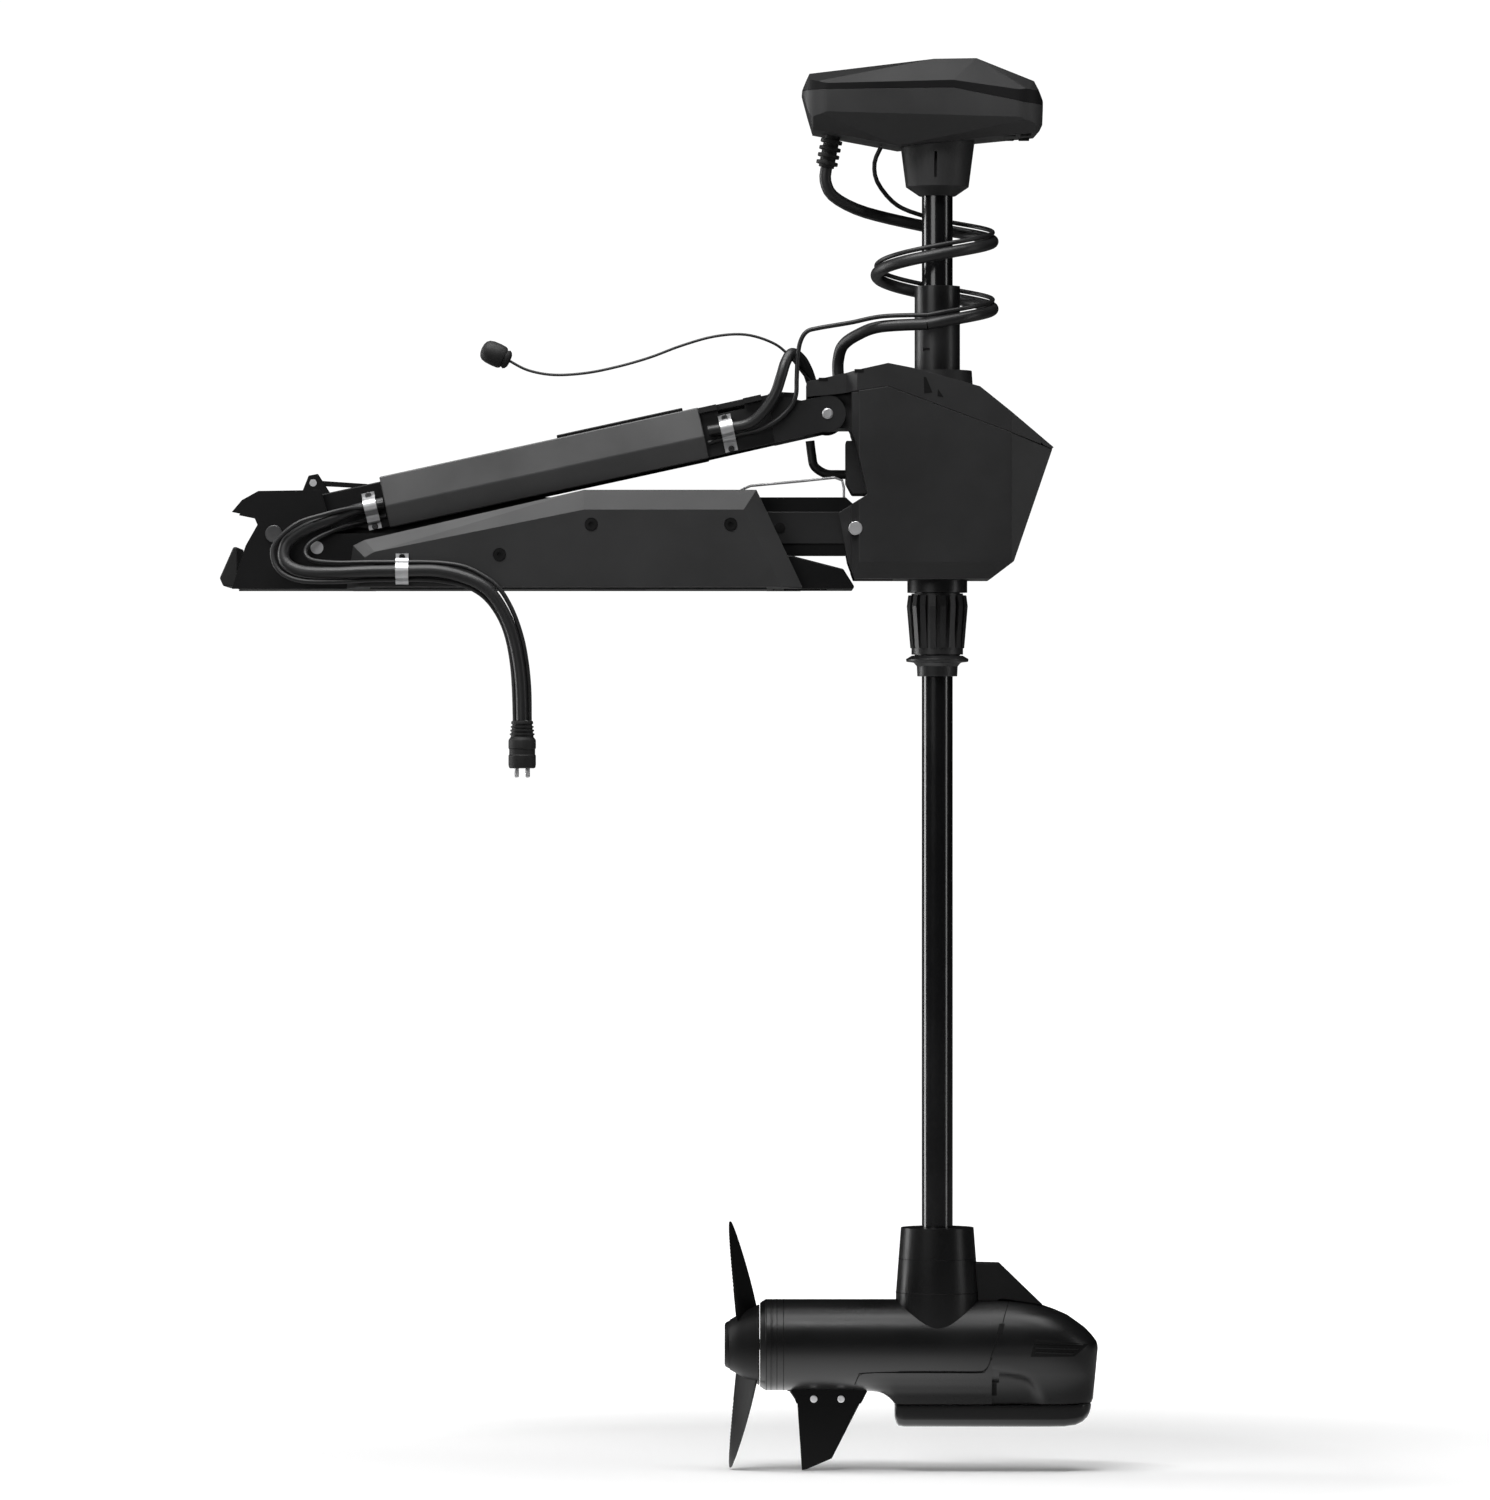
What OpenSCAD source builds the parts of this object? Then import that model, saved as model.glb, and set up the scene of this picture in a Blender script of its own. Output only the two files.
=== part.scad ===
// Bow-mount electric trolling motor. +X points off the bow, +Y to the far side, +Z up.
// The origin is the centre of the deck bolt pattern on the underside of the base.

/* [Mount base] */
// Thickness of the base's floor plate
floor_t = 8; // [6:1:10]
// Radius of the deck bolt holes
bolt_r = 4.5; // [3:0.5:5]
// Distance between deck bolts along the base
bolt_pitch_x = 440; // [400:10:460]
// Distance between deck bolts across the base
bolt_pitch_y = 90; // [80:2:96]

/* [Arms] */
// Rise of the upper arm at rest, in degrees
arm_deg = 12.3; // [12:0.1:12.6]
// Distance between the upper arm's pivots
arm_len = 619; // [617:1:621]
// Radius of the upper arm's inner pivot pins
base_pin_r = 7; // [6:0.5:8]
// Radius of the upper arm's outer pivot pin
yoke_pin_r = 6; // [5:0.5:7]
// Radius of the lower arm's pivot pins
link_pin_r = 7; // [6:0.5:8]

/* [Shaft and steering] */
// Radius of the shaft tube
shaft_r = 17; // [16.5:0.1:17.5]
// Outer radius of the steering sleeve
sleeve_r = 25; // [24.5:0.1:25.5]
// Radial running clearance of every turning or sliding fit
run = 0.06; // [0.04:0.01:0.09]

/* [Lower unit] */
// Radius of the motor case
pod_r = 50; // [49:0.5:51]
// Radius of the propeller's tips
blade_r = 136; // [120:1:140]
// Number of propeller blades
blades = 2; // [2:1:3]

/* [Hidden] */
$fn = 64;

pivot_a = [-245, 60];
pivot_b = pivot_a + arm_len * [cos(arm_deg), sin(arm_deg)];
pivot_c = [-198, 45];
pivot_d = [390, 66];
shaft_x = 481;
pod_z = -830;
gap = 0.3;

black = "#1b1c1e";
satin = "#232427";
grey = "#34363a";
steel = "#c9cbcd";
rubber = "#151515";
copper = "#b06a3a";

// ---------- helpers ----------

// A prism of the X-Z outline p, from y0 to y0 + w
module slab(p, w, y0) {
    translate([0, y0 + w, 0]) rotate([90, 0, 0]) linear_extrude(w) polygon(p);
}

// A prism of the X-Z outline p, centred on the X-Z plane
module mid_slab(p, w) {
    slab(p, w, -w / 2);
}

// The same piece on the near and the far side
module both_sides() {
    children();
    mirror([0, 1, 0]) children();
}

// A rod along Y at the X-Z point p, from y0 to y1
module rod_y(p, r, y0, y1) {
    translate([p[0], y1, p[1]]) rotate([90, 0, 0]) cylinder(h = y1 - y0, r = r);
}

// A rod along X on the pod's axis, from x0 to x1
module rod_x(r, x0, x1) {
    translate([x0, 0, pod_z]) rotate([0, 90, 0]) cylinder(h = x1 - x0, r = r);
}

// A tube along X on the pod's axis
module ring_x(r, bore, x0, x1) {
    difference() {
        rod_x(r, x0, x1);
        rod_x(bore, x0 - 1, x1 + 1);
    }
}

// A tube round the shaft's axis
module ring_z(r, bore, z0, z1) {
    translate([shaft_x, 0, z0]) difference() {
        cylinder(h = z1 - z0, r = r);
        translate([0, 0, -1]) cylinder(h = z1 - z0 + 2, r = bore);
    }
}

// Places a child drawn in the upper arm's own frame, with X along the arm
module on_arm() {
    translate([pivot_a[0], 0, pivot_a[1]]) rotate([0, -arm_deg, 0]) children();
}

function unit(v) = v / norm(v);
function tangent(p, i) = unit(p[min(i + 1, len(p) - 1)] - p[max(i - 1, 0)]);
function side_of(p, i) = i == 0
    ? unit(cross(tangent(p, 0), [0.31, 0.87, 0.39]))
    : let(t = tangent(p, i), u = side_of(p, i - 1)) unit(u - (u * t) * t);

// A tube of diameter d through the points of p
module cord(p, d, sides = 8) {
    n = len(p);
    rings = [for (i = [0:n - 1], k = [0:sides - 1])
        let(u = side_of(p, i), v = cross(tangent(p, i), u), a = 360 * k / sides)
        p[i] + d / 2 * (cos(a) * u + sin(a) * v)];
    walls = [for (i = [0:n - 2], k = [0:sides - 1], half = [0:1])
        let(a = i * sides + k, b = i * sides + (k + 1) % sides)
        half == 0 ? [a, a + sides, b] : [b, a + sides, b + sides]];
    first = [for (k = [0:sides - 1]) k];
    last = [for (k = [sides - 1:-1:0]) (n - 1) * sides + k];
    polyhedron(rings, concat([first], walls, [last]));
}

// ---------- mount base ----------

plate_y = 60;
plate_t = 6;
side_profile = [[-291, 0], [-276, 47], [-263, 70], [-267, 79], [-291, 84], [-280, 97],
    [-262, 107],
    [-194, 108], [-180, 60], [230, 62], [282, 40], [300, 8], [300, 0]];

module base_frame() {
    color(black) difference() {
        union() {
            translate([-285, -plate_y - 1, 0]) cube([585, 2 * plate_y + 2, floor_t]);
            both_sides() slab(side_profile, plate_t, plate_y);
        }
        for (x = [-1, 1], y = [-1, 1])
            translate([x * bolt_pitch_x / 2, y * bolt_pitch_y / 2, -1])
                cylinder(h = floor_t + 2, r = bolt_r);
        rod_y(pivot_a, base_pin_r, -80, 80);
        rod_y(pivot_c, link_pin_r, -80, 80);
        for (x = [-100, 100]) translate([x, -15, -1]) cube([60, 30, floor_t + 2]);
    }
}

cover_outline = [[-165, 0], [-158, 47], [-146, 53], [19, 72], [66, 98], [94, 108], [282, 108],
    [332, 2], [331, 0]];
cover_face = [[-150, 2], [-145, 34], [-134, 40], [28, 55], [72, 78], [94, 86], [268, 86], [308, 2]];
cover_inner = [[-140, -1], [-136, 30], [28, 45], [70, 68], [96, 76], [258, 76], [294, -1]];
cover_screw_at = [[-128, 24], [2, 37], [102, 70], [254, 70]];
cover_y = plate_y + plate_t + 1;
cover_t = 19;

module side_cover() {
    difference() {
        hull() {
            slab(cover_outline, cover_t - 11, cover_y);
            slab(cover_face, cover_t, cover_y);
        }
        slab(cover_inner, cover_t - 4, cover_y - 1);
        for (p = cover_screw_at) rod_y(p, 4, cover_y - 1, cover_y + cover_t + 1);
        for (p = cover_screw_at) rod_y(p, 7, cover_y + cover_t - 2, cover_y + cover_t + 1);
    }
}

module side_cover_near() {
    color(grey) mirror([0, 1, 0]) side_cover();
}

module side_cover_far() {
    color(grey) side_cover();
}

module cover_screws() {
    color(black) both_sides() for (p = cover_screw_at) difference() {
        union() {
            rod_y(p, 3.9, cover_y - 1 + gap, cover_y + cover_t - 2);
            rod_y(p, 6.6, cover_y + cover_t - 2, cover_y + cover_t + 1);
        }
        translate([p[0], cover_y + cover_t + 2, p[1]]) rotate([90, 0, 0]) cylinder(h = 3, r = 3.2, $fn = 6);
    }
}

module motor_ramp() {
    color(black) {
        difference() {
            mid_slab([[301, 0], [301, 36.5], [321, 36.5], [377, 22], [389, 3], [388, 0]], 116);
            mid_slab([[312, -1], [312, 20], [360, 8], [360, -1]], 100);
            translate([300, -18, -1]) cube([100, 36, 60]);
        }
    }
}

module end_bumper() {
    color(rubber) difference() {
        mid_slab([[-305, 12], [-290, 46], [-285.3, 46], [-285.3, 3], [-301, 3]], 110);
        for (y = [-36, 0, 36]) translate([-310, y - 3, 0]) cube([12, 6, 60]);
    }
}

module base_pivot_pins() {
    color(steel) both_sides() {
        rod_y(pivot_a, base_pin_r, 36.5, plate_y + plate_t);
        rod_y(pivot_a, base_pin_r + 2.5, plate_y + plate_t, plate_y + plate_t + 3);
    }
}

module link_pivot_pin() {
    color(steel) rod_y(pivot_c, link_pin_r, -plate_y - plate_t, plate_y + plate_t);
}

latch_at = [-209, 120];

module latch_bracket() {
    color(black) difference() {
        for (y = [66, 78])
            slab([[-224, 92], [-222, 108], [-214, 128], [-204, 130], [-190, 108], [-188, 92]], 4, y);
        rod_y(latch_at, 4, 60, 90);
    }
    color(black) translate([-224, 70, 92]) cube([36, 8, 6]);
}

module latch_pin() {
    color(steel) {
        rod_y(latch_at, 4, 66, 82);
        rod_y(latch_at, 5.5, 82, 84);
    }
}

module latch_lever() {
    color(black) difference() {
        union() {
            rod_y(latch_at, 7, 70.4, 77.6);
            slab([[-209, 117], [-209, 123], [-150, 119], [-140, 116], [-150, 114]], 5, 71.5);
        }
        rod_y(latch_at, 4 + run, 60, 90);
    }
}

clamp_w = 13;

// A cable clamp band standing on the plane y = 0, towards +Y, centred on the X-Z origin
module clamp_band(h, depth) {
    difference() {
        union() {
            translate([-clamp_w / 2, 0, -h / 2]) cube([clamp_w, 1.6, h]);
            translate([-clamp_w / 2, 0, -h / 2 + 6]) cube([clamp_w, depth, h - 12]);
        }
        translate([-clamp_w / 2 - 1, -1, -h / 2 + 7.5]) cube([clamp_w + 2, depth - 0.5, h - 15]);
    }
}

module base_cable_clamp() {
    color(steel) translate([-104, -cover_y - cover_t, 21]) rotate([0, 0, 180]) clamp_band(40, 16);
}

// ---------- upper arm ----------

arm_start = 125;
arm_end = 482;

module upper_arm() {
    color(grey) on_arm() translate([arm_start, 0, 0]) rotate([90, 0, 90])
        linear_extrude(arm_end - arm_start) difference() {
            polygon([[-51, 37], [51, 37], [60, 4], [53, -20], [-53, -20], [-60, 4]]);
            polygon([[-48, -21], [-48, 33], [48, 33], [48, -21]]);
        }
}

module arm_inner_cheeks() {
    color(black) on_arm() both_sides() difference() {
        union() {
            rod_y([0, 0], 20, 37, 47.7);
            slab([[-3, 19.5], [60, 32], [165, 32], [165, -19], [110, -19], [90, -13], [0, -13]], 10.7, 37);
        }
        rod_y([0, 0], base_pin_r + run, 30, 60);
    }
}

yoke_start = 482;

module arm_outer_yoke() {
    color(black) on_arm() difference() {
        union() {
            both_sides() {
                slab([[yoke_start, 36], [yoke_start, -19], [590, -18], [590, 30], [575, 34]], 8, 40);
                slab([[560, 35], [556, -18.5], [arm_len, -18], [arm_len, 19.5], [594, 20]], 9, 48);
                rod_y([arm_len, 0], 20, 48, 57);
            }
            translate([yoke_start, -57, 30]) cube([70, 114, 6]);
        }
        rod_y([arm_len, 0], yoke_pin_r, -70, 70);
        rod_y([arm_len, 0], 23, -47, 47);
        translate([yoke_start + 20, -60, 25]) cube([30, 20.5, 20]);
    }
}

module yoke_pin() {
    color(steel) both_sides() {
        rod_y(pivot_b, yoke_pin_r, 0, 57);
        rod_y(pivot_b, yoke_pin_r - 1, 57, 58.5);
    }
}

module arm_top_pad() {
    color(black) on_arm() translate([324, -35, 37]) cube([141, 70, 4]);
}

module arm_cable_clamps() {
    color(steel) on_arm() for (at = [[109, -47.8], [508, -48.1]])
        translate([at[0], at[1], 2.5]) rotate([0, 0, 180]) clamp_band(41, 21);
}

// ---------- lower arm ----------

link_w = 68;

module lower_arm() {
    color(black) difference() {
        union() {
            rod_y(pivot_c, 18, -link_w / 2, link_w / 2);
            mid_slab([[-198, 27], [-60, 38], [385, 38], [396, 46], [400, 66], [392, 90], [380, 101],
                [-40, 101], [-198, 63]], link_w);
        }
        rod_y(pivot_c, link_pin_r + run, -60, 60);
        mid_slab([[-60, 44], [410, 44], [410, 95], [-36, 95], [-150, 66], [-150, 44]], link_w - 10);
        mid_slab([[-230, 0], [-230, 80], [-170, 80], [-170, 0]], link_w - 28);
    }
}

module link_bushes() {
    color(steel) both_sides() difference() {
        rod_y(pivot_c, 12, 34, 36);
        rod_y(pivot_c, link_pin_r + run, 30, 60);
    }
}

module release_wire() {
    color(steel) cord([[262, -20, 101.5], [266, -20, 110], [276, -20, 114], [330, -20, 119], [368, -20, 123],
        [376, -20, 120], [378, -20, 112], [378, -20, 101.5]], 3);
}

// ---------- steering housing ----------

tub_profile = [[337, 209.5], [374, 213], [425.5, 221], [590.5, 159], [606, 153.5], [563, 30],
    [538, 11], [389, 11], [382, 30], [372, 84], [403, 103], [390.5, 160], [384, 176], [345, 176]];
tub_plan = [[330, -46], [386, -46], [386, -68], [394, -76], [560, -76], [612, -40], [612, 40], [560, 76],
    [394, 76], [386, 68], [386, 46], [330, 46]];
lid_profile = [[337, 210], [337, 226.6], [425.7, 246.4], [453, 241], [526, 221], [607.5, 155.5],
    [606, 154], [590.5, 159.5], [425.5, 221.5], [374, 213.5]];
lid_plan = [[330, -58], [380, -58], [392, -76], [560, -76], [614, -40], [614, 40], [560, 76],
    [392, 76], [380, 58], [330, 58]];

module plan_prism(p, z0, z1) {
    translate([0, 0, z0]) linear_extrude(z1 - z0) polygon(p);
}

module housing_tub() {
    color(satin) difference() {
        intersection() {
            mid_slab(tub_profile, 160);
            plan_prism(tub_plan, 0, 260);
            translate([300, 0, 0]) rotate([90, 0, 90]) linear_extrude(320)
                polygon([[-76, 260], [-76, 29], [-67, 11], [67, 11], [76, 29], [76, 260]]);
        }
        intersection() {
            mid_slab([[437, 222], [590, 165], [598, 150], [561, 42], [540, 30], [437, 30]], 140);
            plan_prism([[437, -71], [556, -71], [603, -37], [603, 37], [556, 71], [437, 71]], 0, 260);
        }
        mid_slab([[360, 0], [432, 0], [432, 128], [404, 128], [360, 100]], 73);
        mid_slab([[398, 132], [438, 132], [438, 225], [398, 225]], 84);
        translate([shaft_x, 0, 0]) cylinder(h = 40, r = 34);
        rod_y(pivot_b, yoke_pin_r + run, -80, 80);
        rod_y(pivot_d, 7.5, -80, 80);
    }
}

module housing_lid() {
    color(black) difference() {
        union() {
            intersection() {
                mid_slab(lid_profile, 160);
                plan_prism(lid_plan, 0, 260);
            }
            intersection() {
                translate([shaft_x, 0, 150]) cylinder(h = 91, r1 = 44, r2 = 38);
                mid_slab([[440, 241], [530, 241], [560, 200], [526, 205], [440, 234]], 100);
            }
        }
        mid_slab([[345, 209], [374, 212], [425.5, 220], [590, 158], [596, 158], [526, 215], [425, 240],
            [345, 222]], 108);
        translate([shaft_x, 0, 150]) cylinder(h = 120, r = sleeve_r + 0.8);
        translate([372, 0, 200]) cylinder(h = 60, r = 7);
    }
}

module housing_link_pins() {
    color(steel) both_sides() {
        rod_y(pivot_d, 7.5, 36.6, 77);
    }
}

module bearing_bridge() {
    color(grey) difference() {
        translate([438, -69, 170]) cube([84, 138, 12]);
        translate([shaft_x, 0, 160]) cylinder(h = 40, r = 34);
        for (y = [-56, 56], x = [452, 510]) translate([x, y, 160]) cylinder(h = 30, r = 2.6);
    }
}

module steer_bearings() {
    color(steel) {
        ring_z(34, sleeve_r + run, 12, 26);
        ring_z(34, sleeve_r + run, 170, 182);
    }
}

worm_x = 536;
worm_z = 118;
wheel_teeth = 40;
wheel_r = 44;

module worm() {
    color(steel) {
        rod_y([worm_x, worm_z], 4, -48, 30);
        for (k = [-3:3]) rod_y([worm_x, worm_z], 9.5, k * 6.6 - 1.4, k * 6.6 + 1.4);
        rod_y([worm_x, worm_z], 7, -23, 23);
    }
}

module steer_motor() {
    color(grey) {
        difference() {
            rod_y([worm_x, worm_z], 16, 30.5, 68);
            rod_y([worm_x, worm_z], 5, 20, 34);
        }
        difference() {
            translate([worm_x - 12, -56, worm_z - 12]) cube([24, 7, 24]);
            rod_y([worm_x, worm_z], 4 + run, -60, -40);
        }
    }
}

module drive_board() {
    color("#1f5a3a") {
        translate([560, -34, 60]) cube([2, 68, 38]);
        for (y = [-22, -4, 14]) translate([555, y, 68]) cube([5, 10, 16]);
    }
}

module steer_sleeve() {
    color(satin) {
        difference() {
            union() {
                ring_z(sleeve_r, shaft_r + run, -72, 334);
                ring_z(33, shaft_r + run, -3, 10.7);
            }
            for (a = [0, 180]) translate([shaft_x, 0, 262]) rotate([0, 0, a + 60])
                translate([22.5, -4, 0]) cube([6, 8, 3]);
        }
    }
}

module worm_wheel() {
    tip = wheel_r;
    root = wheel_r - 4;
    step = 360 / wheel_teeth;
    rim = [for (k = [0:wheel_teeth - 1], c = [[0.00, root], [0.18, tip], [0.45, tip], [0.63, root]])
        c[1] * [cos((k + c[0]) * step), sin((k + c[0]) * step)]];
    color("#8a7a48") translate([shaft_x, 0, worm_z - 8]) linear_extrude(16) difference() {
        polygon(rim);
        circle(r = sleeve_r);
    }
}

collar_ribs = 18;

module depth_collar() {
    rib = [[26, -64], [29.6, -64], [33.5, -18], [32, -6], [26, -6]];
    color(rubber) {
        ring_z(28.4, sleeve_r + run, -71, -4);
        for (k = [0:collar_ribs - 1]) translate([shaft_x, 0, 0]) rotate([0, 0, k * 360 / collar_ribs])
            mid_slab(rib, 6.4);
    }
}

module collar_retainer() {
    color(satin) translate([shaft_x, 0, 0]) rotate_extrude()
        polygon([[shaft_r + run, -95], [22, -95], [22.5, -84], [26, -80], [34, -79], [34.5, -76],
            [28, -72.2], [shaft_r + run, -72.2]]);
}

// ---------- shaft and head ----------

module shaft_tube() {
    color(satin) ring_z(shaft_r, 14, -712, 450);
}

head_top = [[332, 546], [340, 564.5], [477, 581], [523, 581.7], [586, 556.5], [596, 534], [596, 530],
    [576, 532], [497, 548]];
head_bottom = [[332, 545.4], [497, 547.4], [576, 531.4], [596, 529.4], [595, 508], [588, 500], [535, 500],
    [525, 494], [438, 485.5], [384, 496], [344, 503]];

// The head's outline from above, with round corners
module head_plan() {
    translate([332, -66, 480]) linear_extrude(110) offset(30) offset(-30) square([264, 132]);
}

module head_neck() {
    color(satin) difference() {
        translate([shaft_x, 0, 0]) union() {
            translate([0, 0, 443]) cylinder(h = 57, r1 = 34.6, r2 = 42);
            translate([0, 0, 433]) cylinder(h = 10, r1 = 20, r2 = 34.6);
        }
        translate([shaft_x, 0, 420]) cylinder(h = 30, r = shaft_r);
        translate([shaft_x, 0, 449]) cylinder(h = 60, r = 14);
        mid_slab([[384, 495.9], [438, 485.4], [525, 493.9], [560, 520], [384, 520]], 120);
        translate([shaft_x - 4, -45, 452]) cube([3, 14, 28]);
    }
}

module head_shell() {
    color(satin) difference() {
        intersection() {
            hull() {
                mid_slab([[332, 545.4], [344, 522], [588, 515], [595.5, 520], [596, 529.4], [576, 531.4],
                    [497, 547.4]], 132);
                mid_slab(head_bottom, 92);
            }
            head_plan();
        }
        mid_slab([[340, 560], [346, 510], [440, 495], [525, 502], [586, 507], [590, 560]], 84);
        mid_slab([[320, 545.5], [497, 547.5], [576, 531.5], [600, 529.4], [600, 590], [320, 590]], 200);
        translate([shaft_x, 0, 470]) cylinder(h = 40, r = 14);
        translate([365, 0, 480]) cylinder(h = 30, r = 6.5);
        translate([419, 0, 480]) cylinder(h = 30, r = 2.5);
    }
}

module head_cover() {
    color(black) difference() {
        intersection() {
            hull() {
                mid_slab([[332, 546], [335, 552], [497, 556], [580, 544], [596, 534], [596, 530], [576, 532],
                    [497, 548]], 132);
                mid_slab(head_top, 84);
            }
            head_plan();
        }
        mid_slab([[340, 540], [344, 560], [478, 576], [520, 576.5], [582, 552], [590, 520]], 76);
        mid_slab([[320, 545.7], [497, 547.7], [576, 531.7], [600, 529.7], [600, 500], [320, 500]], 200);
    }
}

module head_board() {
    color("#1f5a3a") {
        translate([400, -32, 512]) cube([120, 64, 2]);
        translate([420, -18, 514]) cube([34, 34, 6]);
        translate([478, -12, 514]) cube([20, 22, 9]);
    }
}

gland_top = [366, 0, 500];
gland_deg = 11.5;

module head_gland() {
    color(rubber) translate(gland_top) rotate([0, 180 + gland_deg, 0]) difference() {
        union() {
            cylinder(h = 36, r = 8.6);
            translate([0, 0, -4]) cylinder(h = 7, r = 8.6);
            for (k = [0:3]) translate([0, 0, 5 + k * 8]) cylinder(h = 4, r = 12);
        }
        translate([0, 0, -6]) cylinder(h = 50, r = 6.5);
        translate([-20, -20, -24]) cube([40, 40, 20.5]);
    }
}

// ---------- lower unit ----------

module motor_neck() {
    color(satin) difference() {
        translate([shaft_x, 0, 0]) union() {
            translate([0, 0, -773]) cylinder(h = 72, r1 = 45.6, r2 = 40);
            translate([0, 0, -812]) cylinder(h = 39, r = 45.6);
        }
        rod_x(pod_r + 0.1, 300, 660);
        translate([shaft_x, 0, -712]) cylinder(h = 40, r = shaft_r);
        translate([shaft_x, 0, -790]) cylinder(h = 80, r = 12);
    }
}

module motor_case() {
    color(satin) difference() {
        rod_x(pod_r, 300, 548);
        rod_x(pod_r - 5, 290, 530);
        rod_x(16, 520, 560);
        translate([shaft_x, 0, -800]) cylinder(h = 40, r = 12);
    }
}

module end_bell() {
    color(satin) difference() {
        union() {
            rod_x(pod_r, 292, 300);
            rod_x(pod_r - 5.1, 300, 312);
            translate([286, 0, pod_z]) rotate([0, 90, 0]) cylinder(h = 6, r1 = pod_r - 4, r2 = pod_r);
        }
        rod_x(16, 298, 320);
        rod_x(8, 280, 320);
    }
}

module cable_fairing() {
    color(satin) difference() {
        mid_slab([[500, -739], [549, -740], [597, -786.3], [556.3, -779.7], [547.9, -779.7], [547.9, -800],
            [500, -800]], 26);
        translate([shaft_x, 0, -773]) cylinder(h = 72, r1 = 45.6, r2 = 40);
        translate([shaft_x, 0, -812]) cylinder(h = 39, r = 45.6);
        rod_x(pod_r + 0.1, 300, 548);
    }
}

module nose_cone() {
    color(satin) difference() {
        intersection() {
            hull() {
                rod_x(pod_r, 548.2, 556);
                mid_slab([[556, -781], [596, -786.5], [624, -797.5], [643.5, -811.5], [658, -827], [651, -892],
                    [560, -892]], 40);
                mid_slab([[556, -800], [600, -803], [632, -818], [653, -834], [648, -892], [556, -892]], 84);
            }
            translate([500, -50, -900]) linear_extrude(130) offset(34) offset(-34) square([158, 100]);
        }
        rod_x(30, 540, 580);
        both_sides() slab([[586, -824], [640, -832], [624, -842], [582, -842]], 20, 40);
    }
}

// The lower casing's side, seen from the end
casing_side = [[43, -858], [38.6, -864.5], [35.2, -872], [33.6, -881], [33.2, -892.8]];

module sonar_housing() {
    color(satin) difference() {
        hull() {
            mid_slab([[438, -893], [650, -893], [644, -909], [632, -914], [440, -914]], 70);
            mid_slab([[444, -893], [646, -893], [641, -912], [626, -918.5], [444, -918.5]], 58);
        }
        mid_slab([[450, -880], [630, -880], [630, -910], [450, -910]], 52);
    }
    color(satin) difference() {
        intersection() {
            mid_slab([[402, -858], [548, -858], [548, -892.8], [440, -892.8], [436, -884], [420, -881],
                [408, -880.5]], 90);
            translate([400, 0, 0]) rotate([90, 0, 90]) linear_extrude(150)
                polygon(concat(casing_side, [for (k = [len(casing_side) - 1:-1:0]) [-casing_side[k][0],
                    casing_side[k][1]]]));
        }
        rod_x(pod_r + 0.1, 390, 560);
    }
}

skeg_fin = [[327, -894], [396, -894], [365, -955], [337, -967], [332, -968]];

module skeg() {
    color(black) {
        difference() {
            mid_slab([[316, -868], [326, -894], [397, -894], [408, -868]], 22);
            rod_x(pod_r + 0.1, 300, 420);
            for (x = [345, 375]) rod_y([x, -889], 4, -20, 20);
        }
        mid_slab(skeg_fin, 7);
    }
}

module skeg_bolts() {
    color(steel) for (x = [345, 375]) rod_y([x, -889], 4, -12, 12);
}

module stator() {
    color(copper) ring_x(pod_r - 5.1, 36, 330, 470);
}

module motor_bearings() {
    color(steel) {
        ring_x(16, 6 + run, 299, 311);
        ring_x(16, 6 + run, 531, 543);
    }
}

module rotor_shaft() {
    color(steel) {
        rod_x(6, 262, 545);
        ring_x(35, 6, 335, 465);
    }
}

hub_profile = [[9, 285.4], [44, 285.4], [44, 281], [36.5, 268], [28, 253], [27, 252], [9, 252]];

// Chord, pitch angle and sweep of a blade section at the radius r, all falling towards the tip
function blade_u(r) = (r - 28) / (blade_r - 28);
function blade_section(r) = let(u = blade_u(r), c = 44 * pow(1 - u * u, 0.6) + 4, t = 5 * (1 - u) + 1.2,
    pitch = 31 - 12 * u, sweep = -2 + 12 * u * u, rake = 271.5 - 15 * u)
    [for (k = [0:11]) let(a = k * 30, along = c / 2 * cos(a) - sweep, thick = -t / 2 * sin(a))
        [rake + along * sin(pitch) + thick * cos(pitch),
         along * cos(pitch) - thick * sin(pitch), r]];

module blade() {
    radii = [for (k = [0:9]) 28 + (blade_r - 28) * k / 9];
    pts = [for (r = radii) each blade_section(r)];
    n = 12;
    walls = [for (i = [0:len(radii) - 2], k = [0:n - 1], half = [0:1])
        let(a = i * n + k, b = i * n + (k + 1) % n)
        half == 0 ? [a, a + n, b] : [b, a + n, b + n]];
    polyhedron(pts, concat([[for (k = [0:n - 1]) k]], walls,
        [[for (k = [n - 1:-1:0]) (len(radii) - 1) * n + k]]));
}

module propeller() {
    color(black) {
        difference() {
            union() {
                translate([0, 0, pod_z]) rotate([0, 90, 0]) rotate_extrude()
                    polygon(hub_profile);
                for (k = [0:blades - 1]) translate([0, 0, pod_z]) rotate([k * 360 / blades, 0, 0]) blade();
            }
            rod_x(9, 250, 290);
        }
    }
}

module prop_cap() {
    color(black) {
        rod_x(26.5, 247, 252);
        ring_x(8.9, 6.05, 252, 283);
    }
}

// ---------- cables ----------

// A smooth stretch through the points p, with n steps between neighbours
function spline_at(p, i, t) = let(a = p[max(i - 1, 0)], b = p[i], c = p[i + 1], d = p[min(i + 2, len(p) - 1)])
    0.5 * (2 * b + t * (c - a) + t * t * (2 * a - 5 * b + 4 * c - d) + t * t * t * (3 * b - a - 3 * c + d));
function smooth(p, n) = [for (i = [0:len(p) - 2], k = [0:n - 1]) spline_at(p, i, k / n), p[len(p) - 1]];

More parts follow.
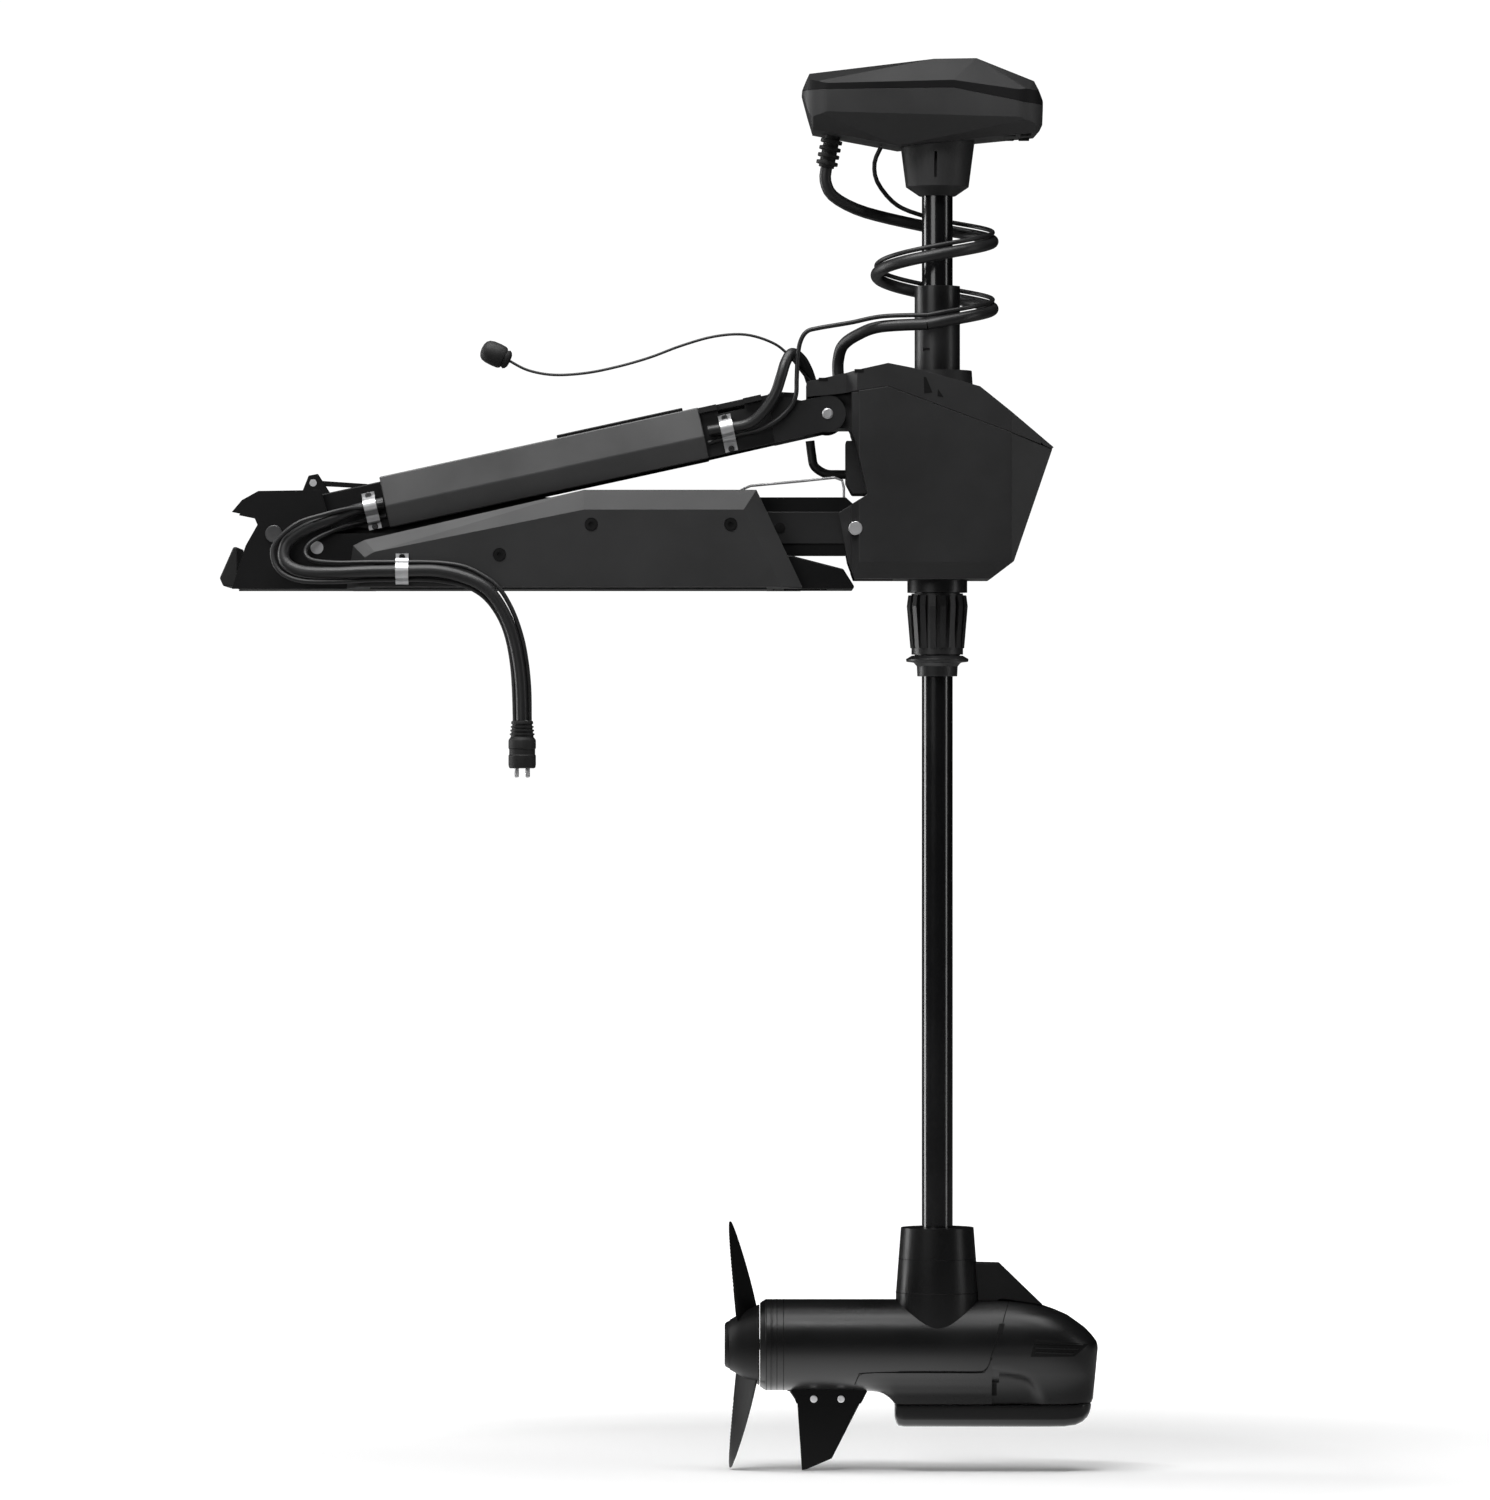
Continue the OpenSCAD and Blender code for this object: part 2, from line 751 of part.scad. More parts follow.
power_d = 13;
signal_d = 5;

// Runs from the arm's inner clamp round the base pivot to the base's clamp
loop_power = [[-125.6, -55, 94], [-137, -55, 91.5], [-149, -56, 88.5], [-165, -66, 83], [-181, -75, 76],
    [-208, -79, 66], [-230, -82, 50], [-232, -88, 30], [-214, -94, 19], [-180, -96, 17], [-140, -95.5, 18.5], [-104, -95, 19]];
loop_signal = [[-123, -51, 80], [-138, -51, 77], [-152, -54, 73], [-166, -66, 69], [-181, -74, 63],
    [-202, -80, 52], [-210, -84, 40], [-202, -90, 31], [-175, -91.5, 28], [-140, -91, 28.5], [-104, -90.5, 28.5]];
loop_sonar = [[-125.6, -64.5, 94], [-137, -64.5, 91.5], [-149, -65, 89], [-165, -75, 87],
    [-188, -83, 81], [-220, -88, 70], [-244, -91, 46], [-240, -96, 22], [-218, -99, 9], [-180, -97, 7], [-140, -93, 9], [-104, -91, 9.3]];

module loop_cables() {
    color(rubber) {
        cord(smooth(loop_power, 3), power_d);
        cord(smooth(loop_signal, 3), signal_d);
        cord(smooth(loop_sonar, 3), signal_d);
    }
}

// One turn of the coil falls by coil_pitch
coil_r = 64;
coil_pitch = 74;
coil_turns = 1.55;
coil_z = 404;
function coil_point(t, r, lift) = let(a = 100 - 360 * t)
    [shaft_x - 3 + r * cos(a), r * sin(a), coil_z - coil_pitch * t + lift];

module coil_cables() {
    turns = [for (k = [1:32]) k / 32 * coil_turns];
    color(rubber) {
        cord(concat(smooth([[359, 0, 464], [358, 0, 450], [366, 3, 434], [392, 16, 420], [430, 44, 411]], 2),
            [for (t = turns) coil_point(t, coil_r, 0)]), power_d);
        cord(concat(smooth([[419, 0, 487], [412, 2, 470], [415, 10, 450], [432, 36, 430], [452, 56, 420]], 2),
            [for (t = turns) coil_point(t, coil_r, 10)]), signal_d);
    }
}

// From the last tie to the lid, and from the tie to the arm's outer recess
tie_turn = 0.012;
arm_power = [[229.5, -55, 173], [247.5, -56, 176], [272, -60, 180], [289, -64, 193], [302, -66, 212],
    [309, -65, 232], [314, -60, 248], [321, -50, 258], [331, -36, 252], [338, -26, 240], [342, -20, 229]];
arm_signal = [[350, -62, 285], [337, -62, 281], [330, -62, 270], [327, -62, 252], [326, -62, 230],
    [325, -62, 211], [318, -61, 197], [304, -62, 184], [284, -58.5, 174], [258, -52, 168], [229.5, -51, 160]];

module lid_cables() {
    exit_power = coil_point(coil_turns + tie_turn, coil_r, 0);
    exit_signal = coil_point(coil_turns + tie_turn, coil_r, 10);
    color(rubber) {
        cord(smooth([exit_power, [418, -52, 287], [393, -34, 279], [377, -14, 268], [372, -3, 252],
            [372, 0, 236]], 3), power_d);
        cord(smooth(concat([exit_signal, [420, -58, 298], [385, -61, 291]], arm_signal), 2), signal_d);
        cord(smooth(arm_power, 3), power_d - 1);
    }
}

module housing_hose() {
    color(rubber) cord(smooth([[341, 0, 164], [343, 0, 148], [346, 0, 136], [358, 0, 128], [372, 0, 127],
        [388, 0, 127]], 3), 10);
}

tow_route = [[343, -30, 226], [334, -32, 236], [318, -34, 256], [300, -36, 270], [270, -38, 279],
    [236, -38, 277], [200, -37, 267], [165, -36, 254], [130, -36, 244], [95, -36, 237], [60, -36, 235],
    [32, -36, 240], [12, -36, 250]];

module tow_cord() {
    color(rubber) cord(smooth(tow_route, 3), 3);
}

module tow_grip() {
    color(rubber) translate([12, -36, 250]) rotate([0, -65, 0]) union() {
        cylinder(h = 30, r = 13);
        translate([0, 0, 30]) cylinder(h = 4, r1 = 13, r2 = 9);
    }
}

lead_power = [[-104, -95, 19], [-66, -96, 19], [-34, -97, 11.5], [-11, -98, -1], [5.5, -98, -23.5],
    [16.5, -98, -50], [23, -98, -80], [26, -98, -110], [27, -98, -144]];
lead_signal = [[-104, -90.5, 28.5], [-66, -91, 28], [-38, -92, 24], [-17, -93, 14.5], [1.5, -94, 0.5],
    [16, -94, -23.5], [26, -94, -51.5], [31.5, -94, -79], [34.5, -94, -110], [35, -95, -144]];
lead_sonar = [[-104, -91, 9.3], [-76, -90.5, 9.3], [-48, -90.5, 6], [-29, -90.5, 0], [-12.5, -90.5, -11.5],
    [1, -90.5, -30], [10, -90.5, -52], [15.5, -91, -80], [18, -93, -110], [19, -94, -144]];

module power_lead() {
    color(rubber) {
        cord(smooth(lead_power, 3), power_d);
        cord(smooth(lead_signal, 2), signal_d);
        cord(smooth(lead_sonar, 2), signal_d);
    }
}

module power_plug() {
    color(rubber) translate([27, -97, -196]) {
        cylinder(h = 34, r = 15);
        translate([0, 0, 34]) cylinder(h = 18, r1 = 14.5, r2 = 12);
        for (x = [-6, 6]) translate([x, 0, -10]) cylinder(h = 10, r = 2.5);
    }
}

base_frame();
side_cover_near();
side_cover_far();
cover_screws();
motor_ramp();
end_bumper();
base_pivot_pins();
link_pivot_pin();
latch_bracket();
latch_pin();
latch_lever();
base_cable_clamp();
upper_arm();
arm_inner_cheeks();
arm_outer_yoke();
yoke_pin();
arm_top_pad();
arm_cable_clamps();
lower_arm();
link_bushes();
release_wire();
housing_tub();
housing_lid();
housing_link_pins();
bearing_bridge();
steer_bearings();
worm();
steer_motor();
drive_board();
steer_sleeve();
worm_wheel();
depth_collar();
collar_retainer();
shaft_tube();
head_neck();
head_shell();
head_cover();
head_board();
head_gland();
motor_neck();
motor_case();
end_bell();
cable_fairing();
nose_cone();
sonar_housing();
skeg();
skeg_bolts();
stator();
motor_bearings();
rotor_shaft();
propeller();
prop_cap();
loop_cables();
coil_cables();
lid_cables();
housing_hose();
tow_cord();
tow_grip();
power_lead();
power_plug();
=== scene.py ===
import math

import bmesh
import bpy
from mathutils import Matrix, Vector


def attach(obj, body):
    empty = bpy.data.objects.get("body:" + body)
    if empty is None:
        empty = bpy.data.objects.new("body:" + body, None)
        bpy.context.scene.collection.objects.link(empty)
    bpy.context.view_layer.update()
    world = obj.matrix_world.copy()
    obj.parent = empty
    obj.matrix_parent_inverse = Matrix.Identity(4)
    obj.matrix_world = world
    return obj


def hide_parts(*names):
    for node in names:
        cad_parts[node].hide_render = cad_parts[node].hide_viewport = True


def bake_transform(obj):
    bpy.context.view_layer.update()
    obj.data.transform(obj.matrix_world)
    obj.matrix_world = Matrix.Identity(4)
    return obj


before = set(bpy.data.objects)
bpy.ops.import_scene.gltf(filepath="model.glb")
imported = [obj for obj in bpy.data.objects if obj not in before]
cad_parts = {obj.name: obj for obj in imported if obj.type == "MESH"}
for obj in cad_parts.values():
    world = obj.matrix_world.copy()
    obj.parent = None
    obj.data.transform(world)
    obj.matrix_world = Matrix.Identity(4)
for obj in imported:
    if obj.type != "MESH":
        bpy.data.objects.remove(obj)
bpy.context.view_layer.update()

# The pieces are drawn in millimetres, which mm() or MM turns into metres. The camera, the floor and
# the lights are placed in metres. Angles named DEG or passed to math.radians() are in degrees.
MM = 0.001

ARM_DEG = 12.3
ARM_PIVOT = (-245, 60)
SHAFT_X = 481
POD_Z = -830


def mm(x, y, z):
    return Vector((x, y, z)) * MM


def on_arm(x, y, z):
    """A point given along, across and above the upper arm, as a place in the part's frame."""
    a = math.radians(ARM_DEG)
    return (ARM_PIVOT[0] + x * math.cos(a) - z * math.sin(a), y,
            ARM_PIVOT[1] + x * math.sin(a) + z * math.cos(a))


# ---------- camera ----------

LENS_MM = 200
SENSOR_MM = 36
VIEW_SIZE = 1.65
VIEW_X, VIEW_Z = 0.2695, -0.176


def make_camera():
    """A long lens, square on to the near side, as the photograph."""
    data = bpy.data.cameras.new("camera")
    data.lens = LENS_MM
    data.sensor_width = SENSOR_MM
    data.clip_end = 100
    camera = bpy.data.objects.new("camera", data)
    camera.location = (VIEW_X, -VIEW_SIZE * LENS_MM / SENSOR_MM, VIEW_Z)
    camera.rotation_euler = (math.pi / 2, 0, 0)
    bpy.context.scene.collection.objects.link(camera)
    bpy.context.scene.camera = camera


make_camera()


# ---------- materials ----------

def noise(tree, source, scale, detail, rough=0.55):
    node = tree.nodes.new("ShaderNodeTexNoise")
    node.inputs["Scale"].default_value = scale
    node.inputs["Detail"].default_value = detail
    node.inputs["Roughness"].default_value = rough
    tree.links.new(source, node.inputs["Vector"])
    return node.outputs["Fac"]


def spread(tree, value, low, high, start=0.3, stop=0.7):
    node = tree.nodes.new("ShaderNodeMapRange")
    node.inputs["From Min"].default_value = start
    node.inputs["From Max"].default_value = stop
    node.inputs["To Min"].default_value = low
    node.inputs["To Max"].default_value = high
    tree.links.new(value, node.inputs["Value"])
    return node.outputs["Result"]


def tint(tree, fac, dark, light):
    node = tree.nodes.new("ShaderNodeMix")
    node.data_type = "RGBA"
    node.inputs[6].default_value = (*dark, 1)
    node.inputs[7].default_value = (*light, 1)
    tree.links.new(fac, node.inputs[0])
    return node.outputs[2]


def finish_of(name, color, rough, grain=1600, depth=0.05, cloud=9, stretch=(1, 1, 1), tone=0.18,
              metallic=0.0, specular=0.5, coat=0.0, sway=0.06):
    """A surface with a fine grain in its bump and slow clouds in its colour and roughness."""
    material = bpy.data.materials.new(name)
    material.use_nodes = True
    tree = material.node_tree
    shader = tree.nodes["Principled BSDF"]
    place = tree.nodes.new("ShaderNodeTexCoord").outputs["Object"]
    if stretch != (1, 1, 1):
        mapping = tree.nodes.new("ShaderNodeMapping")
        mapping.inputs["Scale"].default_value = stretch
        tree.links.new(place, mapping.inputs["Vector"])
        grain_place = mapping.outputs["Vector"]
    else:
        grain_place = place
    clouds = noise(tree, place, cloud, 4)
    dark = [c * (1 - tone) for c in color]
    light = [min(1, c * (1 + tone)) for c in color]
    tree.links.new(tint(tree, spread(tree, clouds, 0, 1), dark, light), shader.inputs["Base Color"])
    fine = noise(tree, grain_place, grain, 2, 0.6)
    rub = tree.nodes.new("ShaderNodeMath")
    rub.operation = "ADD"
    tree.links.new(spread(tree, clouds, rough - sway, rough + sway), rub.inputs[0])
    tree.links.new(spread(tree, fine, -0.03, 0.03), rub.inputs[1])
    tree.links.new(rub.outputs[0], shader.inputs["Roughness"])
    bump = tree.nodes.new("ShaderNodeBump")
    bump.inputs["Strength"].default_value = 0.35
    bump.inputs["Distance"].default_value = depth * MM
    tree.links.new(fine, bump.inputs["Height"])
    tree.links.new(bump.outputs["Normal"], shader.inputs["Normal"])
    shader.inputs["Metallic"].default_value = metallic
    shader.inputs["Specular IOR Level"].default_value = specular
    shader.inputs["Coat Weight"].default_value = coat
    shader.inputs["Coat Roughness"].default_value = 0.12
    return material


def bands_of(material, axis, scale, depth):
    """Adds evenly spaced turned or wound bands along an axis to a material's bump."""
    tree = material.node_tree
    wave = tree.nodes.new("ShaderNodeTexWave")
    wave.bands_direction = axis
    wave.inputs["Scale"].default_value = scale
    place = tree.nodes.new("ShaderNodeTexCoord").outputs["Object"]
    tree.links.new(place, wave.inputs["Vector"])
    bump = tree.nodes.new("ShaderNodeBump")
    bump.inputs["Strength"].default_value = 0.6
    bump.inputs["Distance"].default_value = depth * MM
    shader = tree.nodes["Principled BSDF"]
    under = shader.inputs["Normal"].links[0].from_socket
    tree.links.new(wave.outputs["Fac"], bump.inputs["Height"])
    tree.links.new(under, bump.inputs["Normal"])
    tree.links.new(bump.outputs["Normal"], shader.inputs["Normal"])
    return material


def board_material():
    """Green solder mask with paler tracks."""
    material = finish_of("board_green", (0.01, 0.09, 0.035), 0.35, grain=400)
    tree = material.node_tree
    shader = tree.nodes["Principled BSDF"]
    brick = tree.nodes.new("ShaderNodeTexBrick")
    brick.inputs["Scale"].default_value = 90
    brick.inputs["Mortar Size"].default_value = 0.04
    brick.inputs["Color1"].default_value = (0.01, 0.09, 0.035, 1)
    brick.inputs["Color2"].default_value = (0.012, 0.075, 0.03, 1)
    brick.inputs["Mortar"].default_value = (0.05, 0.22, 0.09, 1)
    tree.links.new(tree.nodes.new("ShaderNodeTexCoord").outputs["Object"], brick.inputs["Vector"])
    tree.links.new(brick.outputs["Color"], shader.inputs["Base Color"])
    return material


FINISHES = {
    "base_black": finish_of("base_black", (0.0022, 0.0022, 0.0024), 0.42, depth=0.04, specular=0.25),
    "cover_grey": finish_of("cover_grey", (0.022, 0.022, 0.0225), 0.52, depth=0.07, specular=0.4),
    "screw_black": finish_of("screw_black", (0.008, 0.008, 0.008), 0.3, grain=700, metallic=0.3),
    "rubber": finish_of("rubber", (0.010, 0.010, 0.010), 0.6, grain=1400, depth=0.025, specular=0.35),
    "steel": finish_of("steel", (0.66, 0.66, 0.67), 0.38, grain=2200, metallic=0.72, depth=0.004,
                       cloud=40, tone=0.1),
    "bolt_grey": finish_of("bolt_grey", (0.11, 0.11, 0.112), 0.42, grain=1500, metallic=0.8, depth=0.01,
                           cloud=50),
    "arm_grey": finish_of("arm_grey", (0.058, 0.058, 0.0585), 0.40, grain=420, stretch=(1, 8, 8),
                          depth=0.02, specular=0.45),
    "arm_black": finish_of("arm_black", (0.014, 0.014, 0.0145), 0.42, depth=0.04, specular=0.4),
    "housing_satin": finish_of("housing_satin", (0.018, 0.018, 0.0185), 0.5, depth=0.08,
                               specular=0.4),
    "cast_metal": finish_of("cast_metal", (0.4, 0.4, 0.41), 0.55, grain=350, depth=0.2, metallic=1.0),
    "board_green": board_material(),
    "sleeve_black": finish_of("sleeve_black", (0.011, 0.011, 0.0115), 0.36, depth=0.03),
    "bronze": bands_of(finish_of("bronze", (0.45, 0.31, 0.13), 0.35, metallic=1.0), "Z", 300, 0.02),
    "collar_black": finish_of("collar_black", (0.023, 0.023, 0.0235), 0.4, grain=1100, depth=0.05),
    "shaft_gloss": finish_of("shaft_gloss", (0.006, 0.006, 0.0065), 0.2, grain=900,
                             stretch=(1, 1, 0.12), depth=0.02, coat=0.5, sway=0.03),
    "head_satin": finish_of("head_satin", (0.005, 0.005, 0.0053), 0.52, depth=0.06, specular=0.2),
    "shell_satin": finish_of("shell_satin", (0.032, 0.032, 0.0325), 0.5, depth=0.06, specular=0.35),
    "pod_satin": finish_of("pod_satin", (0.0045, 0.0045, 0.0047), 0.33, depth=0.04, specular=0.36),
    "skeg_black": finish_of("skeg_black", (0.0018, 0.0018, 0.0019), 0.5, depth=0.05, specular=0.08),
    "copper": bands_of(finish_of("copper", (0.6, 0.24, 0.1), 0.32, metallic=1.0), "Y", 420, 0.2),
    "prop_black": finish_of("prop_black", (0.0035, 0.0035, 0.0037), 0.42, depth=0.05, specular=0.16),
    "cable": finish_of("cable", (0.014, 0.014, 0.0145), 0.42, grain=1100, depth=0.06, specular=0.45),
}
GLOSS = finish_of("window_gloss", (0.0012, 0.0012, 0.0013), 0.12, grain=600, depth=0.004, specular=0.3,
                  coat=0.3, sway=0.03)
# A near-black used as painted shade where the vent, slots and holes would lie in shade, and as the dark
# colour of the seam lines
SHADE_AND_SEAM_DARK = finish_of("painted_shade_and_seam_dark", (0.002, 0.002, 0.002), 0.7, grain=900, specular=0.2)


# ---------- mesh helpers ----------

EDGE_SEGMENTS = 2
EDGE_ANGLE = 30


def clamp(value):
    return min(max(value, 0), 1)


def round_angles(count):
    """Evenly spaced angles round a whole turn, in radians."""
    return [2 * math.pi * k / count for k in range(count)]


def piece_of(name, bm, slot, body, sharp=32, material=None):
    """Makes a piece of a bmesh, with edges sharper than sharp degrees kept crisp."""
    bmesh.ops.remove_doubles(bm, verts=bm.verts, dist=1e-7)
    bmesh.ops.recalc_face_normals(bm, faces=bm.faces)
    for face in bm.faces:
        face.smooth = True
    for edge in bm.edges:
        if len(edge.link_faces) == 2:
            edge.smooth = edge.calc_face_angle(0) < math.radians(sharp)
    mesh = bpy.data.meshes.new(name)
    bm.to_mesh(mesh)
    bm.free()
    mesh.materials.append(material or FINISHES[slot])
    obj = bpy.data.objects.new(name, mesh)
    bpy.context.scene.collection.objects.link(obj)
    if body:
        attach(obj, body)
    return obj


def round_edges(obj, width):
    """Rounds an object's own edges and evens out its shading."""
    bevel = obj.modifiers.new("edges", "BEVEL")
    bevel.width = width * MM
    bevel.segments = EDGE_SEGMENTS
    bevel.limit_method = "ANGLE"
    bevel.angle_limit = math.radians(EDGE_ANGLE)
    bevel.use_clamp_overlap = True
    bevel.miter_outer = "MITER_ARC"
    shade = obj.modifiers.new("shading", "WEIGHTED_NORMAL")
    shade.keep_sharp = True
    return obj


def spline(points, steps):
    """A smooth run through the points, with steps stretches between neighbours."""
    p = [Vector(q) for q in points]
    out = []
    for i in range(len(p) - 1):
        a, b, c, d = p[max(i - 1, 0)], p[i], p[i + 1], p[min(i + 2, len(p) - 1)]
        for k in range(steps):
            t = k / steps
            out.append(0.5 * (2 * b + t * (c - a) + t * t * (2 * a - 5 * b + 4 * c - d)
                              + t ** 3 * (3 * b - a - 3 * c + d)))
    return out + [p[-1]]


def rings_along(path, radius, sides):
    """Rings of points round a path, without twist."""
    rings = []
    side = None
    for i, here in enumerate(path):
        along = (path[min(i + 1, len(path) - 1)] - path[max(i - 1, 0)]).normalized()
        if side is None:
            side = along.cross(Vector((0.31, 0.87, 0.39))).normalized()
        side = (side - along * side.dot(along)).normalized()
        up = along.cross(side)
        rings.append([(here + radius * (math.cos(a) * side + math.sin(a) * up)) * MM
                      for a in round_angles(sides)])
    return rings


def skin(bm, rings):
    """Joins rings of points into a tube with closed ends."""
    loops = [[bm.verts.new(p) for p in ring] for ring in rings]
    n = len(loops[0])
    for a, b in zip(loops, loops[1:]):
        for k in range(n):
            bm.faces.new((a[k], a[(k + 1) % n], b[(k + 1) % n], b[k]))
    bm.faces.new(loops[0])
    bm.faces.new(loops[-1][::-1])


def tube(bm, path, diameter, sides):
    skin(bm, rings_along(path, diameter / 2, sides))


def lathe(bm, profile, start, along, sides):
    """Turns a profile of (distance along, radius) about the line from start."""
    along = Vector(along).normalized()
    side = along.cross(Vector((0.2, 0.9, 0.4))).normalized()
    up = along.cross(side)
    rings = []
    for distance, radius in profile:
        rings.append([(Vector(start) + along * distance
                       + radius * (math.cos(a) * side + math.sin(a) * up)) * MM
                      for a in round_angles(sides)])
    skin(bm, rings)


def prism(bm, outline, y0, y1):
    """A prism of an X-Z outline between two Y places."""
    near = [bm.verts.new(mm(x, y0, z)) for x, z in outline]
    far = [bm.verts.new(mm(x, y1, z)) for x, z in outline]
    n = len(near)
    bm.faces.new(near)
    bm.faces.new(far[::-1])
    for k in range(n):
        bm.faces.new((near[k], far[k], far[(k + 1) % n], near[(k + 1) % n]))


def block(bm, corners):
    """A box between two corners."""
    (x0, y0, z0), (x1, y1, z1) = corners
    v = [bm.verts.new(mm(x, y, z)) for x in (x0, x1) for y in (y0, y1) for z in (z0, z1)]
    for f in ((0, 1, 3, 2), (4, 6, 7, 5), (0, 4, 5, 1), (2, 3, 7, 6), (0, 2, 6, 4), (1, 5, 7, 3)):
        bm.faces.new([v[i] for i in f])


# ---------- cords ----------

# Diameters, and routes that repeat those in part.scad point by point
TOW_D = 3
TOW_ROUTE = [(343, -30, 226), (334, -32, 236), (318, -34, 256), (300, -36, 270), (270, -38, 279),
             (236, -38, 277), (200, -37, 267), (165, -36, 254), (130, -36, 244), (95, -36, 237),
             (60, -36, 235), (32, -36, 240), (12, -36, 250)]
POWER_D = 13
SIGNAL_D = 5
LEAD_POWER = [(-104, -95, 19), (-66, -96, 19), (-34, -97, 11.5), (-11, -98, -1), (5.5, -98, -23.5),
              (16.5, -98, -50), (23, -98, -80), (26, -98, -110), (27, -98, -144)]
LEAD_SIGNAL = [(-104, -90.5, 28.5), (-66, -91, 28), (-38, -92, 24), (-17, -93, 14.5),
               (1.5, -94, 0.5), (16, -94, -23.5), (26, -94, -51.5), (31.5, -94, -79),
               (34.5, -94, -110), (35, -95, -144)]
LEAD_SONAR = [(-104, -91, 9.3), (-76, -90.5, 9.3), (-48, -90.5, 6), (-29, -90.5, 0),
              (-12.5, -90.5, -11.5), (1, -90.5, -30), (10, -90.5, -52), (15.5, -91, -80),
              (18, -93, -110), (19, -94, -144)]
PLUG_TOP = (27, -97, -144)


def make_tow_cord():
    path = spline(TOW_ROUTE, 6)
    bm = bmesh.new()
    tube(bm, path, TOW_D, 14)
    obj = piece_of("tow_line", bm, "cable", "housing")
    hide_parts("tow_cord")
    bm = bmesh.new()
    tip = Vector(TOW_ROUTE[-1])
    lean = math.radians(65)
    away = Vector((-math.sin(lean), 0, math.cos(lean)))
    bulb = [(0, 3.2), (0.4, 6.5), (2, 9.4), (4, 10.6), (5, 10.7), (5.6, 9.8), (7, 9.8), (7.6, 11.4),
            (10, 12.6), (16, 13), (24, 12.7), (29, 11.4), (32, 8.8), (33.5, 5), (34, 1)]
    lathe(bm, bulb, tip, away, 40)
    grip = piece_of("tow_handle", bm, "rubber", "housing")
    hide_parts("tow_grip")


def make_power_lead():
    """The three strands that leave the base's clamp, and the connector that they share."""
    bm = bmesh.new()
    boot = [(0, 10), (0.6, 11.6)]
    for k in range(4):
        wide = 12 + k * 0.5
        boot += [(2 + 4 * k, wide), (3.6 + 4 * k, wide), (4 + 4 * k, wide - 1.1), (5.6 + 4 * k, wide - 1.1)]
    shell = [(19, 13.4), (20.5, 14.6), (22, 15), (30, 15), (31, 14.2), (37, 14.2), (38, 15), (48, 15),
             (51, 14.4), (52, 13)]
    lathe(bm, boot + shell, PLUG_TOP, (0, 0, -1), 40)
    plug = piece_of("power_connector", bm, "rubber", "base")
    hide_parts("power_plug")
    bm = bmesh.new()
    for side in (-6, 6):
        foot = (PLUG_TOP[0] + side, PLUG_TOP[1], PLUG_TOP[2] - 52)
        lathe(bm, [(0, 2.5), (8.6, 2.5), (9.6, 1.9), (10, 1.2)], foot, (0, 0, -1), 20)
    pins = piece_of("power_contacts", bm, "steel", "base")
    strands = (("power_strand", LEAD_POWER, POWER_D, [plug, pins]),
               ("signal_strand", LEAD_SIGNAL, SIGNAL_D, [plug]),
               ("sonar_strand", LEAD_SONAR, SIGNAL_D, [plug]))
    for name, route, diameter, pieces in strands:
        path = spline(route, 6)
        bm = bmesh.new()
        tube(bm, path, diameter, 22)
        strand = piece_of(name, bm, "cable", "base")
        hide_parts("power_lead")


make_tow_cord()
make_power_lead()


# ---------- cables that the object holds ----------

# These routes repeat part.scad too
LOOP_POWER = [(-125.6, -55, 94), (-137, -55, 91.5), (-149, -56, 88.5), (-165, -66, 83),
              (-181, -75, 76), (-208, -79, 66), (-230, -82, 50), (-232, -88, 30), (-214, -94, 19),
              (-180, -96, 17), (-140, -95.5, 18.5), (-104, -95, 19)]
LOOP_SIGNAL = [(-123, -51, 80), (-138, -51, 77), (-152, -54, 73), (-166, -66, 69), (-181, -74, 63),
               (-202, -80, 52), (-210, -84, 40), (-202, -90, 31), (-175, -91.5, 28),
               (-140, -91, 28.5), (-104, -90.5, 28.5)]
LOOP_SONAR = [(-125.6, -64.5, 94), (-137, -64.5, 91.5), (-149, -65, 89), (-165, -75, 87),
              (-188, -83, 81), (-220, -88, 70), (-244, -91, 46), (-240, -96, 22), (-218, -99, 9),
              (-180, -97, 7), (-140, -93, 9), (-104, -91, 9.3)]
# The coil's radius, drop for each turn, turns and top
COIL_R, COIL_PITCH, COIL_TURNS, COIL_Z = 64, 74, 1.55, 404
SIGNAL_LIFT = 10
TIE_TURNS = (0.22, 0.62, 1.14, 1.49)
CABLE_STEPS = 8
POWER_LEAD_IN = [(359, 0, 464), (358, 0, 450), (366, 3, 434), (392, 16, 420), (430, 44, 411)]
SIGNAL_LEAD_IN = [(419, 0, 487), (412, 2, 470), (415, 10, 450), (432, 36, 430), (452, 56, 420)]
ARM_POWER = [(229.5, -55, 173), (247.5, -56, 176), (272, -60, 180), (289, -64, 193),
             (302, -66, 212), (309, -65, 232), (314, -60, 248), (321, -50, 258), (331, -36, 252),
             (338, -26, 240), (342, -20, 229)]
ARM_SIGNAL = [(350, -62, 285), (337, -62, 281), (330, -62, 270), (327, -62, 252), (326, -62, 230),
              (325, -62, 211), (318, -61, 197), (304, -62, 184), (284, -58.5, 174), (258, -52, 168),
              (229.5, -51, 160)]
HOSE_D = 10
HOSE = [(341, 0, 164), (343, 0, 148), (346, 0, 136), (358, 0, 128), (372, 0, 127), (388, 0, 127)]


def coil_point(t, lift):
    """A point of the coil after t turns round the shaft."""
    a = math.radians(100 - 360 * t)
    return (SHAFT_X - 3 + COIL_R * math.cos(a), COIL_R * math.sin(a), COIL_Z - COIL_PITCH * t + lift)


